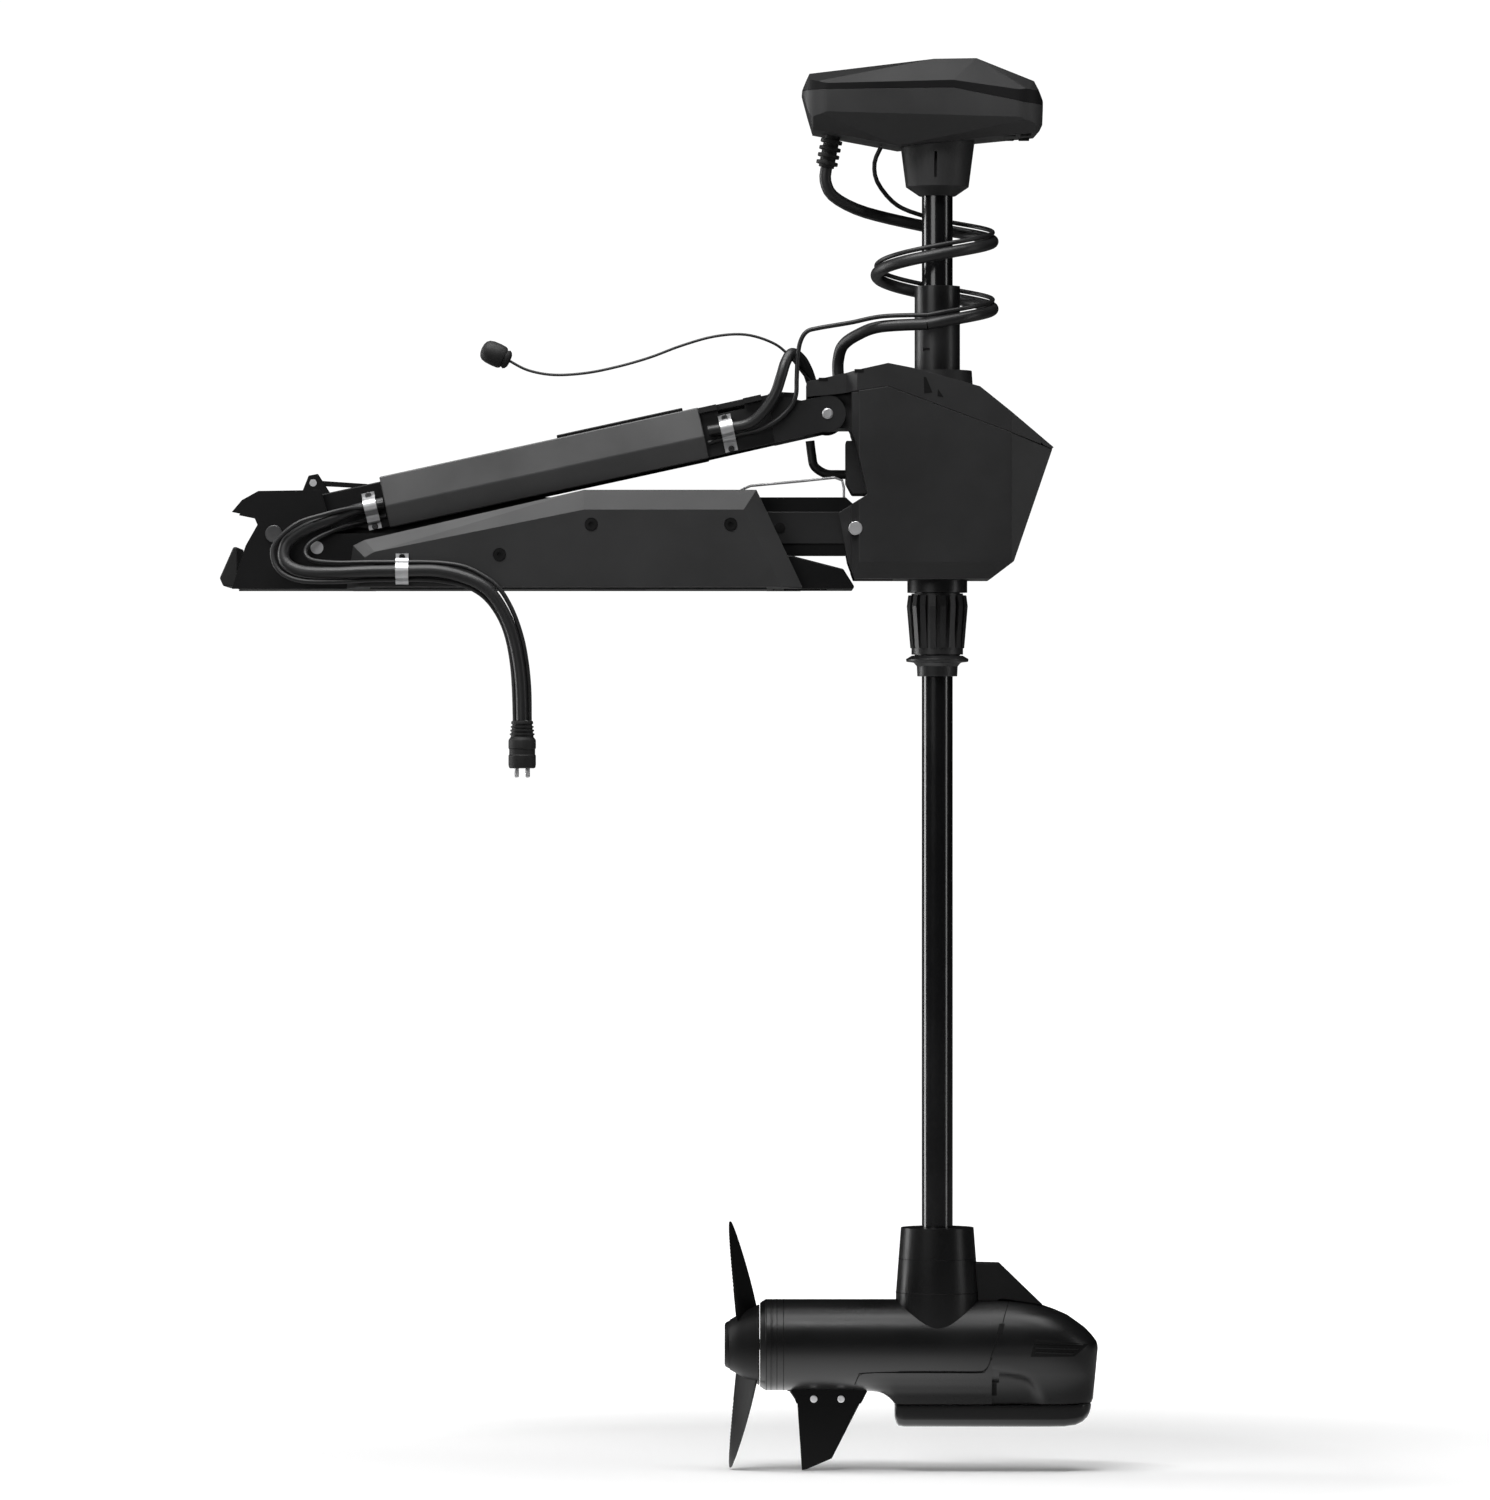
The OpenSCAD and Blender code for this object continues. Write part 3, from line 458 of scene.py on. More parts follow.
def add_tie(bm, middle, along, up, reach):
    """A tie strap round a thick cable at middle and a thin one that lies reach above it."""
    along, up = along.normalized(), (up - along * up.dot(along)).normalized()
    out = along.cross(up)
    wall = 1.1
    half = 2.5
    thick, thin = POWER_D / 2 + wall, SIGNAL_D / 2 + wall
    outline = [(thick * math.cos(a), thick * math.sin(a))
               for a in (math.radians(150 + 240 * k / 16) for k in range(17))]
    outline += [(thin * math.cos(a), reach + thin * math.sin(a))
                for a in (math.radians(20 + 140 * k / 8) for k in range(9))]
    rings = []
    for place, scale in ((-half, 0.9), (-half + 0.6, 1), (half - 0.6, 1), (half, 0.9)):
        rings.append([(middle + along * place + scale * (x * out + z * up)) * MM for x, z in outline])
    skin(bm, rings)


def make_coil():
    """The two head cables, which turn round the shaft, and their ties."""
    count = 60
    turns = [k / count * COIL_TURNS for k in range(2, count + 1)]
    power = spline(POWER_LEAD_IN + [coil_point(t, 0) for t in turns], 3)
    signal = spline(SIGNAL_LEAD_IN + [coil_point(t, SIGNAL_LIFT) for t in turns], 3)
    bm = bmesh.new()
    tube(bm, power, POWER_D, 20)
    tube(bm, signal, SIGNAL_D, 12)
    obj = piece_of("head_cables", bm, "cable", None)
    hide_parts("coil_cables")
    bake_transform(obj)
    bm = bmesh.new()
    for t in TIE_TURNS:
        here = Vector(coil_point(t, 0))
        there = Vector(coil_point(t + 0.01, 0))
        add_tie(bm, here, there - here, Vector((0, 0, 1)), SIGNAL_LIFT)
    ties = piece_of("cable_ties", bm, "screw_black", None)
    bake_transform(ties)


def make_lid_cables():
    """From the last tie to the lid, and on to the arm's outer clamp."""
    power_exit = coil_point(COIL_TURNS, 0)
    signal_exit = coil_point(COIL_TURNS, SIGNAL_LIFT)
    bm = bmesh.new()
    tube(bm, spline([power_exit, (418, -52, 287), (393, -34, 279), (377, -14, 268), (372, -3, 252),
                     (372, 0, 236)], CABLE_STEPS), POWER_D, 20)
    power = piece_of("lid_power_cable", bm, "cable", None)
    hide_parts("lid_cables")
    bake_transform(power)
    bm = bmesh.new()
    lead = [signal_exit, (420, -58, 298), (385, -61, 291)]
    whole = spline(lead + ARM_SIGNAL, CABLE_STEPS)
    split = len(lead) * CABLE_STEPS
    tube(bm, whole[:split + 1], SIGNAL_D, 12)
    signal = piece_of("lid_signal_cable", bm, "cable", None)
    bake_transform(signal)
    bm = bmesh.new()
    tube(bm, whole[split:], SIGNAL_D, 12)
    tube(bm, spline(ARM_POWER, CABLE_STEPS), POWER_D - 1, 20)
    arm = piece_of("arm_end_cables", bm, "cable", None)
    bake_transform(arm)


def make_loop_cables():
    """Three cables round the base pivot, from the arm's inner clamp to the base's clamp."""
    bm = bmesh.new()
    tube(bm, spline(LOOP_POWER, 6), POWER_D, 20)
    for route in (LOOP_SIGNAL, LOOP_SONAR):
        tube(bm, spline(route, 6), SIGNAL_D, 12)
    obj = piece_of("pivot_cables", bm, "cable", None)
    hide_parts("loop_cables")
    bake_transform(obj)


def make_hose():
    """The hose from the upper arm into the housing."""
    bm = bmesh.new()
    tube(bm, spline(HOSE, 6), HOSE_D, 20)
    obj = piece_of("steering_hose", bm, "cable", None)
    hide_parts("housing_hose")
    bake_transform(obj)


make_coil()
make_lid_cables()
make_loop_cables()
make_hose()


# ---------- clamps ----------

# Each strap's run of (out from the wall, up) places, from its top end to its bottom end
BASE_STRAP = [(0, 38), (0, 35), (0, 32.2), (3.5, 31.9), (6.4, 30.5), (7.4, 27), (10.5, 26.2), (13.6, 23.6),
              (14.8, 19), (13.6, 14.4), (10.5, 12), (7.3, 11.2), (6.9, 8), (4.5, 6), (0.2, 5.6)]
INNER_STRAP = [(0, 23), (0, 17.5), (3, 16.5), (9, 15.6), (14, 14.5), (18.5, 12), (20, 7.8), (18.5, 3.5),
               (13, 1.2), (8, -1.5), (6.6, -5), (6, -9), (3, -10.6), (0, -11.6), (0, -18)]
OUTER_STRAP = [(0, 23), (0, 17.5), (4, 16.6), (9, 16), (13.2, 13.5), (15.2, 8.2), (13.4, 3), (9, 0.8),
               (7, -1.5), (6.6, -4), (4, -6), (0, -7), (0, -18)]


STRAP_WALL = 1.4
STRAP_WIDTH = 14


def add_strap(bm, run, wall, place):
    """A strap bent along a run of (out, up) places from the wall that it is screwed to."""
    run = spline(run, 4)
    outer = []
    for i, p in enumerate(run):
        along = (run[min(i + 1, len(run) - 1)] - run[max(i - 1, 0)]).normalized()
        outer.append(p + Vector((-along.y, along.x)) * STRAP_WALL)
    outline = run + outer[::-1]
    ends = (-STRAP_WIDTH / 2, STRAP_WIDTH / 2)
    skin(bm, [[mm(*place(x, wall - p.x, p.y)) for p in outline] for x in ends])


def add_screw(bm, place, radius):
    """A chamfered screw head with a round socket, facing the near side."""
    head = [(-0.4, radius), (1.2, radius), (2.1, radius * 0.8), (2.1, radius * 0.48),
            (0.8, radius * 0.42), (0.8, 0.05)]
    lathe(bm, head, place, (0, -1, 0), 28)


def make_clamps():
    """The straps that hold the cables to the base and to the two ends of the upper arm."""
    bm = bmesh.new()
    base_x = -104
    add_strap(bm, BASE_STRAP, -87, lambda x, y, z: (base_x + x, y, z))
    strap = round_edges(piece_of("base_strap", bm, "steel", "base"), 0.3)
    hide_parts("base_cable_clamp")
    bm = bmesh.new()
    add_screw(bm, (base_x, -88.4, 34.6), 3.2)
    piece_of("base_strap_screw", bm, "screw_black", "base")
    bm = bmesh.new()
    heads = bmesh.new()
    for at, wall, run in ((109, -47.8, INNER_STRAP), (508, -48.1, OUTER_STRAP)):
        add_strap(bm, run, wall, lambda x, y, z: on_arm(at + x, y, z))
        for z in (20, -15):
            add_screw(heads, on_arm(at, wall - STRAP_WALL, z), 3.4)
    straps = round_edges(piece_of("arm_straps", bm, "steel", "upper_arm"), 0.3)
    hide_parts("arm_cable_clamps")
    piece_of("arm_strap_screws", heads, "steel", "upper_arm", material=FINISHES["bolt_grey"])


make_clamps()


# ---------- lower unit ----------

# Runs along the casing give Z at an X, or half a width at a Z. NOSE_FRONT gives the front's X at a Z.
POD_R = 50
SKIN_R = POD_R + 0.3
CASING_REAR, CASING_FRONT = 388.4, 540
FLARE_START, FLARE_END = 392, 434
CASING_TOP = [(388, -879), (390, -870), (394, -862), (399, -859), (403, -858.2), (527, -858.2),
              (532, -856), (535.5, -851), (537.5, -845), (538.3, -839)]
CASING_FOOT = [(388, -880.3), (414, -880.4), (420, -881.4), (426, -884.5), (431, -889), (434, -893),
               (560, -893)]
CASING_SIDE = [(-893, 33.2), (-881, 33.6), (-872, 35.2), (-864.5, 38.6), (-858, 43), (-848, 47.4),
               (-839, 49.7), (-830, 50.3)]
NOSE_FRONT = [(-893, 650.5), (-891, 652), (-860, 655), (-832, 657.6), (-826.5, 656.6), (-819, 651),
              (-811, 643.5), (-797, 624), (-790.5, 609), (-786, 596), (-782.5, 576), (-779.6, 558)]
NOSE_REAR = 538.6
NOSE_TOP, NOSE_DEPTH = -779.7, 113.3
FRONT_ROUND = 66
PANEL_END, PANEL_SINK = 598, 6
CREASE = [(538, -852), (560, -855), (576, -859), (583, -864), (598, -884)]
# The window's sections: X, half its width and the Z of its underside
WINDOW = [(434.5, 30, -911), (435.5, 33, -915), (438, 34.5, -917.5), (444, 35, -918.4), (500, 35, -918.5),
          (570, 35, -918.5), (600, 34.5, -918.5), (620, 33, -918.3), (632, 30.5, -916.8), (640, 27, -913.5),
          (645, 23, -909), (648, 18, -904), (649.6, 12, -899)]


def run_at(run, at):
    """A value read between the listed places of a run, which are in rising order."""
    if at <= run[0][0]:
        return run[0][1]
    for (a, low), (b, high) in zip(run, run[1:]):
        if at <= b:
            return low + (high - low) * (at - a) / (b - a)
    return run[-1][1]


def pod_half(z):
    """Half the pod's width at a height."""
    return math.sqrt(max(SKIN_R ** 2 - (z - POD_Z) ** 2, 0))


def nose_half(x, z):
    """Half the nose's width: the pod's round above, a sunk panel below the crease, a blunt front."""
    half = pod_half(z) if z > POD_Z else run_at(CASING_SIDE, z)
    if x < PANEL_END:
        below = clamp((run_at(CREASE, x) - z) / 10)
        half -= PANEL_SINK * below * min(1, (PANEL_END - x) / 14)
    front = run_at(NOSE_FRONT, z)
    start = max(front - FRONT_ROUND, 545)
    ahead = clamp((x - start) / (front - start))
    return half * (1 - ahead ** 2.5) ** 0.4


def patch(bm, side, corners, lift, sink=0.8, steps=(12, 6)):
    """A thin plate that follows one side of the nose, over four X-Z corners."""
    (ax, az), (bx, bz), (cx, cz), (dx, dz) = corners
    grids = []
    for level in (lift, lift - sink):
        grid = []
        for j in range(steps[1] + 1):
            v = j / steps[1]
            row = []
            for i in range(steps[0] + 1):
                u = i / steps[0]
                x = (ax + (bx - ax) * u) * (1 - v) + (dx + (cx - dx) * u) * v
                z = (az + (bz - az) * u) * (1 - v) + (dz + (cz - dz) * u) * v
                row.append(bm.verts.new(mm(x, side * (nose_half(x, z) + level), z)))
            grid.append(row)
        grids.append(grid)
    front, back = grids
    for j in range(steps[1]):
        for i in range(steps[0]):
            for g in grids:
                bm.faces.new((g[j][i], g[j][i + 1], g[j + 1][i + 1], g[j + 1][i]))
    rim_f = front[0] + [r[-1] for r in front[1:-1]] + front[-1][::-1] + [r[0] for r in front[-2:0:-1]]
    rim_b = back[0] + [r[-1] for r in back[1:-1]] + back[-1][::-1] + [r[0] for r in back[-2:0:-1]]
    for k in range(len(rim_f)):
        n = (k + 1) % len(rim_f)
        bm.faces.new((rim_f[k], rim_f[n], rim_b[n], rim_b[k]))


def seam(bm, side, points, half_at, diameter):
    """A thin line laid on one side of a surface."""
    run = spline([(x, 0, z) for x, z in points], 6)
    tube(bm, [Vector((p.x, side * half_at(p.x, p.z), p.z)) for p in run], diameter, 8)


def hoop(bm, centre, along, radius, diameter):
    """A thin ring."""
    along = Vector(along)
    side = along.orthogonal().normalized()
    up = along.cross(side)
    around = 64
    across = 6
    loops = []
    for a in round_angles(around):
        out = math.cos(a) * side + math.sin(a) * up
        loops.append([bm.verts.new((Vector(centre) + out * (radius + diameter / 2 * math.cos(b))
                                    + along * diameter / 2 * math.sin(b)) * MM)
                      for b in round_angles(across)])
    for k in range(around):
        a, b = loops[k], loops[(k + 1) % around]
        for j in range(across):
            bm.faces.new((a[j], a[(j + 1) % across], b[(j + 1) % across], b[j]))


def mirrored(x, near):
    """A ring across X, from the (half width, Z) points of its near side and their mirror."""
    return [mm(x, -half, z) for half, z in near] + [mm(x, half, z) for half, z in near[::-1]]


def make_casing():
    """The sonar casing below the pod, which grows out of the pod's round towards its front."""
    rings = []
    for k in range(52):
        x = CASING_REAR + (CASING_FRONT - CASING_REAR) * (k / 51)
        top, foot = run_at(CASING_TOP, x), run_at(CASING_FOOT, x)
        flare = clamp((x - FLARE_START) / (FLARE_END - FLARE_START))
        flare = flare * flare * (3 - 2 * flare)
        near = []
        for j in range(17):
            z = top + (foot - top) * (j / 16)
            half = pod_half(z) * (1 - flare) + max(run_at(CASING_SIDE, z), pod_half(z)) * flare
            near.append((half, z))
        rings.append(mirrored(x, near))
    bm = bmesh.new()
    skin(bm, rings)
    casing = piece_of("sonar_casing", bm, "pod_satin", "shaft", 50)
    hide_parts("sonar_housing")


def make_window():
    """The gloss window under the casing, with a rounded lower edge."""
    round_out, round_up = 10, 9
    rings = []
    for x, half, foot in WINDOW:
        rise = round_up * min(1, (-895 - foot) / 12)
        near = [(half * 0.985, -894.4)]
        for k in range(9):
            a = math.radians(90 * k / 8)
            near.append((half - round_out * (1 - math.cos(a)), foot + rise * (1 - math.sin(a))))
        rings.append(mirrored(x, near))
    bm = bmesh.new()
    skin(bm, rings)
    piece_of("sonar_window", bm, "pod_satin", "shaft", 40, GLOSS)


def make_nose():
    """The nose's shell, with sections closer together towards its top and its front."""
    rings = []
    for k in range(40):
        z = NOSE_TOP - NOSE_DEPTH * (k / 39) ** 1.7
        front = run_at(NOSE_FRONT, z)
        xs = [NOSE_REAR + (front - NOSE_REAR) * (1 - (1 - i / 44) ** 1.8) for i in range(45)]
        near = [(x, nose_half(x, z)) for x in xs]
        rings.append([mm(x, -h, z) for x, h in near] + [mm(x, h, z) for x, h in near[-2::-1]])
    bm = bmesh.new()
    skin(bm, rings)
    nose = piece_of("nose_shell", bm, "pod_satin", "shaft", 55)
    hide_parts("nose_cone")


def casing_half(x, z):
    """Half the width at the casing's upper seam, which lies on the pod until the flare's end."""
    return max(pod_half(z), run_at(CASING_SIDE, z) if x > FLARE_END else 0)


def make_nose_details():
    """On each side: painted shade where a vent and two small slots are sunk, three louvres over the vent,
    and the nose's and the casing's seams as dark lines.
    """
    recesses = [((587, -820), (646, -827), (630, -840), (582, -840)),
                ((548, -804), (554, -804), (551, -815), (545, -815)),
                ((540, -869), (545.5, -869), (545.5, -884), (540, -884))]
    nose_seam = [(559, -782), (554.5, -794), (551, -805.5), (545, -822), (539, -839)]
    casing_seam = [(390, -872), (394, -862), (399, -858.8), (440, -858), (490, -858), (527, -858),
                   (533, -855), (537, -848), (538.5, -840)]
    louvre_z = (-824.5, -829.5, -834.5)
    dark = bmesh.new()
    ribs = bmesh.new()
    for side in (-1, 1):
        # Dark plates laid just over the surface are painted shade for the vent's recess and the two slots
        for corners in recesses:
            patch(dark, side, corners, 0.3)
        seam(dark, side, nose_seam, nose_half, 1.0)
        seam(dark, side, casing_seam, casing_half, 0.9)
        for z in louvre_z:
            end = 641 + 1.1 * (z - louvre_z[0])
            corners = ((588, z), (end, z - 2.2), (end - 2, z - 3.4), (587, z - 1.3))
            patch(ribs, side, corners, 0.9, 1.0, (12, 2))
    piece_of("nose_recess_shade_and_seams", dark, "skeg_black", "shaft", material=SHADE_AND_SEAM_DARK)
    piece_of("nose_louvres", ribs, "pod_satin", "shaft")


def make_pod_seams():
    """Thin dark lines round the pod's rear end and the motor's neck."""
    bm = bmesh.new()
    for x, radius in ((298, POD_R), (304.5, POD_R), (311.8, POD_R), (293, POD_R - 0.1)):
        hoop(bm, (x, 0, POD_Z), (1, 0, 0), radius, 0.8)
    hoop(bm, (SHAFT_X, 0, -772), (0, 0, 1), 45.6, 0.9)
    hoop(bm, (SHAFT_X, 0, -735), (0, 0, 1), 42.7, 0.6)
    piece_of("pod_seams", bm, "skeg_black", "shaft", material=SHADE_AND_SEAM_DARK)


def make_skeg_root():
    """The foot that joins the skeg to the pod."""
    bm = bmesh.new()
    block(bm, ((316, -5.5, -881), (404, 5.5, -874)))
    prism(bm, [(317, -879), (326.5, -893), (398, -893), (405, -879)], -5.2, 5.2)
    round_edges(piece_of("skeg_root", bm, "pod_satin", "shaft"), 1.0)


BLADE_ROOT, BLADE_REACH = 28, 108
BLADE_SECTIONS = 110
BLADE_CHORD, BLADE_THICK = 44, 4.6
PITCH_DEG, TWIST_DEG = 31, 12
RAKE_X, RAKE_BACK = 271.5, 15
HUB_X, CAP_X = 252.2, 247


def blade_rings(turn):
    """Sections of a blade from inside the hub to its tip, with fine notches in one edge."""
    c, s = math.cos(turn), math.sin(turn)
    rings = []
    for n in range(BLADE_SECTIONS + 1):
        u = 1 - (1 - n / BLADE_SECTIONS) ** 1.15
        r = BLADE_ROOT + u * BLADE_REACH
        chord = BLADE_CHORD * max(1 - u * u, 0) ** 0.6 + 4
        thick = BLADE_THICK * (1 - u) + 1.1
        pitch = math.radians(PITCH_DEG - TWIST_DEG * u)
        sweep = -2 + 12 * u * u
        rake = RAKE_X - RAKE_BACK * u
        notch = 1.1 if n % 4 < 2 and 0.3 < u < 0.94 else 0
        ring = []
        for a in round_angles(26):
            along = chord / 2 * math.cos(a) - sweep
            if math.cos(a) < -0.9:
                along += notch
            edge = -thick / 2 * math.sin(a) * (1 - 0.3 * math.cos(a))
            x = rake + along * math.sin(pitch) + edge * math.cos(pitch)
            y = along * math.cos(pitch) - edge * math.sin(pitch)
            ring.append(mm(x, y * c - r * s, POD_Z + y * s + r * c))
        rings.append(ring)
    return rings


def make_propeller():
    """The hub with its two blades."""
    bm = bmesh.new()
    hub = [(HUB_X, 9), (HUB_X, 26), (253, 27.6), (268, 36.2), (270, 37), (281, 42.6), (284.6, 44.2),
           (285.4, 43.6), (285.4, 9)]
    lathe(bm, [(x - HUB_X, r) for x, r in hub], (HUB_X, 0, POD_Z), (1, 0, 0), 72)
    for turn in (0, math.pi):
        skin(bm, blade_rings(turn))
    prop = piece_of("prop_blades", bm, "prop_black", "prop", 40)
    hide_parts("propeller")


def make_prop_cap():
    """The cap over the hub's rear end."""
    bm = bmesh.new()
    cap = [(0, 12), (0, 21.5), (0.5, 23.2), (1.7, 24.6), (4.7, 26.2), (5.2, 26.2), (5.2, 12)]
    lathe(bm, cap, (CAP_X, 0, POD_Z), (1, 0, 0), 72)
    lathe(bm, [(0, 8.5), (1.2, 12.3), (5.2, 12.3)], (CAP_X, 0, POD_Z), (1, 0, 0), 24)
    nut = piece_of("prop_end_cap", bm, "prop_black", "prop", 40)
    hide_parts("prop_cap")


make_casing()
make_window()
make_nose()
make_nose_details()
make_pod_seams()
make_skeg_root()
make_propeller()
make_prop_cap()


# ---------- small details of the upper parts ----------

# Painted shade for slots and holes, and plates and feet, that are too small for the CAD. LINK_SKIN is half
# the lower arm's width over its side plates.
LINK_SKIN = 35.2


def make_lid_slot_shade():
    # Dark blocks on the lid's and the housing's sides are painted shade where the slots are
    bm = bmesh.new()
    for side in (-1, 1):
        for x, half, z in ((355, 58.3, 229), (394, 76.3, 237.6)):
            near, far = sorted((side * half, side * (half - 8)))
            block(bm, ((x - 5, near, z - 1.8), (x + 5, far, z + 2)))
        near, far = sorted((side * 76.25, side * 74))
        prism(bm, [(464.5, 231), (467, 231), (474, 214), (465, 213)], near, far)
        prism(bm, [(480, 218), (486, 209), (479.5, 210)], near, far)
    piece_of("lid_slot_shade", bm, "skeg_black", "housing", material=SHADE_AND_SEAM_DARK)


def make_hose_plate():
    bm = bmesh.new()
    prism(bm, [(380, 163), (395, 163), (404, 104), (387, 104), (380, 117)], -34, 34)
    round_edges(piece_of("hose_plate", bm, "housing_satin", "housing"), 1.5)


def make_link_plates():
    bm = bmesh.new()
    for side in (-1, 1):
        near, far = sorted((side * 34, side * LINK_SKIN))
        prism(bm, [(262, 50), (262, 85), (384, 85), (384, 50)], near, far)
    round_edges(piece_of("link_side_plates", bm, "arm_black", "lower_arm"), 0.5)


def make_link_hole_shade():
    # Thin dark discs on the side plates are painted shade where the holes are
    bm = bmesh.new()
    for side in (-1, 1):
        lathe(bm, [(0, 5.8), (0.5, 5.8), (0.6, 5.2)], (307.6, side * LINK_SKIN, 67.4), (0, side, 0), 32)
    piece_of("link_hole_shade", bm, "skeg_black", "lower_arm", material=SHADE_AND_SEAM_DARK)


def make_head_feet():
    bm = bmesh.new()
    for x0, x1 in ((552.5, 566), (571.5, 583)):
        for y in (-38, 26):
            block(bm, ((x0, y, 496.6), (x1, y + 12, 500)))
    piece_of("head_feet", bm, "rubber", "shaft")


make_lid_slot_shade()
make_hose_plate()
make_link_plates()
make_link_hole_shade()
make_head_feet()


# ---------- finish of the CAD nodes ----------

# How far the edges of the larger nodes are rounded, in millimetres
EDGE = {"base_frame": 0.8, "side_cover_near": 1.6, "side_cover_far": 1.6, "motor_ramp": 1.2,
        "end_bumper": 2.0, "base_pivot_pins": 0.8, "latch_bracket": 0.8, "latch_lever": 0.7,
        "upper_arm": 1.2, "arm_inner_cheeks": 1.2, "arm_outer_yoke": 1.4, "yoke_pin": 0.6,
        "arm_top_pad": 1.0, "lower_arm": 1.0, "housing_tub": 2.2, "housing_lid": 1.8,
        "housing_link_pins": 0.7, "bearing_bridge": 0.8, "steer_sleeve": 0.8, "depth_collar": 0.8,
        "collar_retainer": 0.6, "head_shell": 3.0, "head_cover": 2.6, "head_neck": 0.8,
        "head_gland": 0.6, "motor_neck": 1.2, "motor_case": 0.5, "end_bell": 0.6,
        "cable_fairing": 3.0, "skeg": 1.0, "skeg_bolts": 0.6}


# Nodes whose finish isn't the usual one of their slot
NODE_FINISH = {"base_pivot_pins": "bolt_grey", "head_shell": "shell_satin", "head_neck": "shell_satin"}


def dress_nodes():
    """Each CAD node gets its slot's material, and the larger ones get rounded edges."""
    for name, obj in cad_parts.items():
        if obj.hide_render:
            continue
        slot = obj.material_slots[0].material.name.split(".")[0]
        obj.material_slots[0].material = FINISHES[NODE_FINISH.get(name, slot)]
        if name in EDGE:
            weld = obj.modifiers.new("weld", "WELD")
            weld.merge_threshold = 2e-6
            flat = obj.modifiers.new("flat", "DECIMATE")
            flat.decimate_type = "DISSOLVE"
            flat.angle_limit = math.radians(0.6)
            round_edges(obj, EDGE[name])


dress_nodes()


# ---------- stage and light ----------

# The floor is half a millimetre under the object's lowest point
FLOOR_X, FLOOR_Z = 0.35, -0.9685


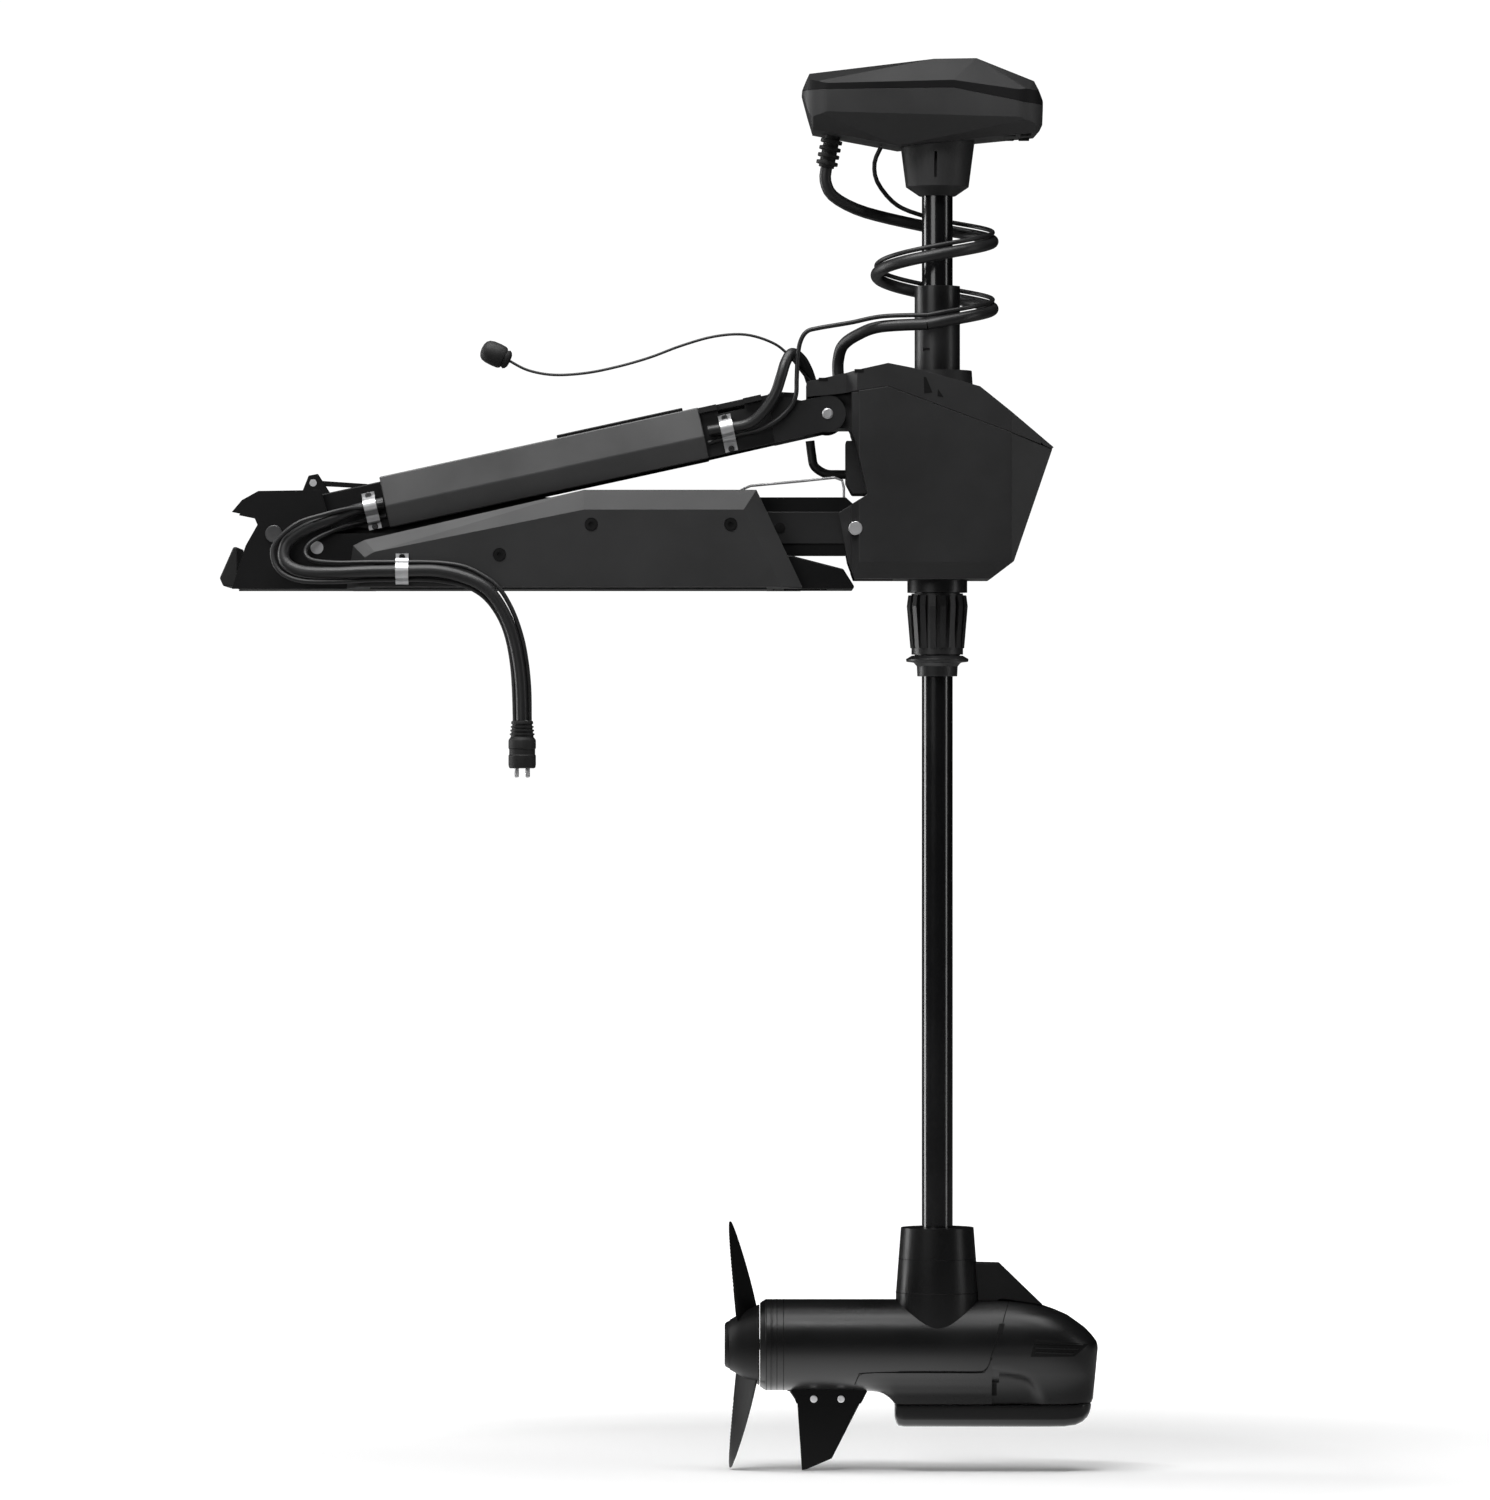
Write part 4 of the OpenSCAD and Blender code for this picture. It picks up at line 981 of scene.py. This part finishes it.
def make_floor():
    """A pale floor, white away from the object so that no horizon shows. Near the object it glows to
    everything but the camera, a painted light though it is no lamp, and to everything but the camera its
    colour is darker.
    """
    material = bpy.data.materials.new("studio_floor")
    material.use_nodes = True
    tree = material.node_tree
    shader = tree.nodes["Principled BSDF"]
    place = tree.nodes.new("ShaderNodeTexCoord").outputs["Object"]
    far = tree.nodes.new("ShaderNodeVectorMath")
    far.operation = "LENGTH"
    tree.links.new(place, far.inputs[0])
    seen = spread(tree, far.outputs["Value"], 0.08, 1.0, 0.6, 2.1)
    # Painted light: near the object the floor glows to reflections and bounce only, which lights and paints
    # a highlight on the object's low faces
    painted_glow_near_object = spread(tree, far.outputs["Value"], 1.9, 0.02, 0.1, 0.5)
    to_camera = tree.nodes.new("ShaderNodeLightPath").outputs["Is Camera Ray"]
    glow = tree.nodes.new("ShaderNodeMix")
    tree.links.new(to_camera, glow.inputs[0])
    tree.links.new(painted_glow_near_object, glow.inputs[2])
    tree.links.new(seen, glow.inputs[3])
    paint = tint(tree, to_camera, (0.3, 0.3, 0.3), (0.86, 0.86, 0.86))
    tree.links.new(paint, shader.inputs["Base Color"])
    shader.inputs["Roughness"].default_value = 0.9
    shader.inputs["Specular IOR Level"].default_value = 0.1
    shader.inputs["Emission Color"].default_value = (1, 1, 1, 1)
    tree.links.new(glow.outputs[0], shader.inputs["Emission Strength"])
    sides = 64
    bm = bmesh.new()
    loops = []
    for radius in (0.5, 1.5, 3, 6, 14, 40):
        loops.append([bm.verts.new((radius * math.cos(a), radius * math.sin(a), 0))
                      for a in round_angles(sides)])
    for a, b in zip(loops, loops[1:]):
        for k in range(sides):
            bm.faces.new((a[k], b[k], b[(k + 1) % sides], a[(k + 1) % sides]))
    bm.faces.new(loops[0])
    mesh = bpy.data.meshes.new("studio_floor")
    bm.to_mesh(mesh)
    bm.free()
    mesh.materials.append(material)
    floor = bpy.data.objects.new("studio_floor", mesh)
    floor.location = (FLOOR_X, 0, FLOOR_Z)
    bpy.context.scene.collection.objects.link(floor)


def soft_box(name, place, target, width, height, power):
    """A rectangular lamp turned to its target, with its power in watts."""
    data = bpy.data.lights.new(name, "AREA")
    data.shape = "RECTANGLE"
    data.size = width
    data.size_y = height
    data.energy = power
    lamp = bpy.data.objects.new(name, data)
    lamp.location = place
    lamp.rotation_euler = (Vector(target) - Vector(place)).to_track_quat("-Z", "Y").to_euler()
    bpy.context.scene.collection.objects.link(lamp)


def make_world():
    """White to the camera, and a dim grey room to everything else."""
    world = bpy.data.worlds.new("studio")
    bpy.context.scene.world = world
    world.use_nodes = True
    tree = world.node_tree
    base = tree.nodes["Background"]
    place = tree.nodes.new("ShaderNodeTexCoord").outputs["Generated"]
    axes = tree.nodes.new("ShaderNodeSeparateXYZ")
    tree.links.new(place, axes.inputs[0])
    tree.links.new(spread(tree, axes.outputs["Z"], 0.02, 0.55, 0.25, 0.95), base.inputs["Strength"])
    white = tree.nodes.new("ShaderNodeBackground")
    white.inputs["Color"].default_value = (1, 1, 1, 1)
    white.inputs["Strength"].default_value = 1.05
    mix = tree.nodes.new("ShaderNodeMixShader")
    seen = tree.nodes.new("ShaderNodeLightPath").outputs["Is Camera Ray"]
    tree.links.new(seen, mix.inputs[0])
    tree.links.new(base.outputs[0], mix.inputs[1])
    tree.links.new(white.outputs[0], mix.inputs[2])
    tree.links.new(mix.outputs[0], tree.nodes["World Output"].inputs["Surface"])


make_floor()
make_world()
soft_box("top_box", (0.2, -0.2, 2.9), (0.25, 0, -0.2), 3.4, 1.8, 100)
soft_box("key_box", (-0.7, -1.5, 2.5), (0.1, 0, 0.0), 2.6, 0.7, 80)
soft_box("front_fill", (-1.5, -3.0, 0.7), (0.2, 0, 0.15), 1.8, 1.0, 16)
soft_box("left_strip", (-2.6, 0.9, 0.0), (0.3, 0, -0.2), 0.9, 3.0, 55)
soft_box("right_strip", (3.1, -0.9, 0.0), (0.4, 0, -0.3), 0.45, 3.0, 12)
bpy.context.scene.view_settings.view_transform = "Standard"
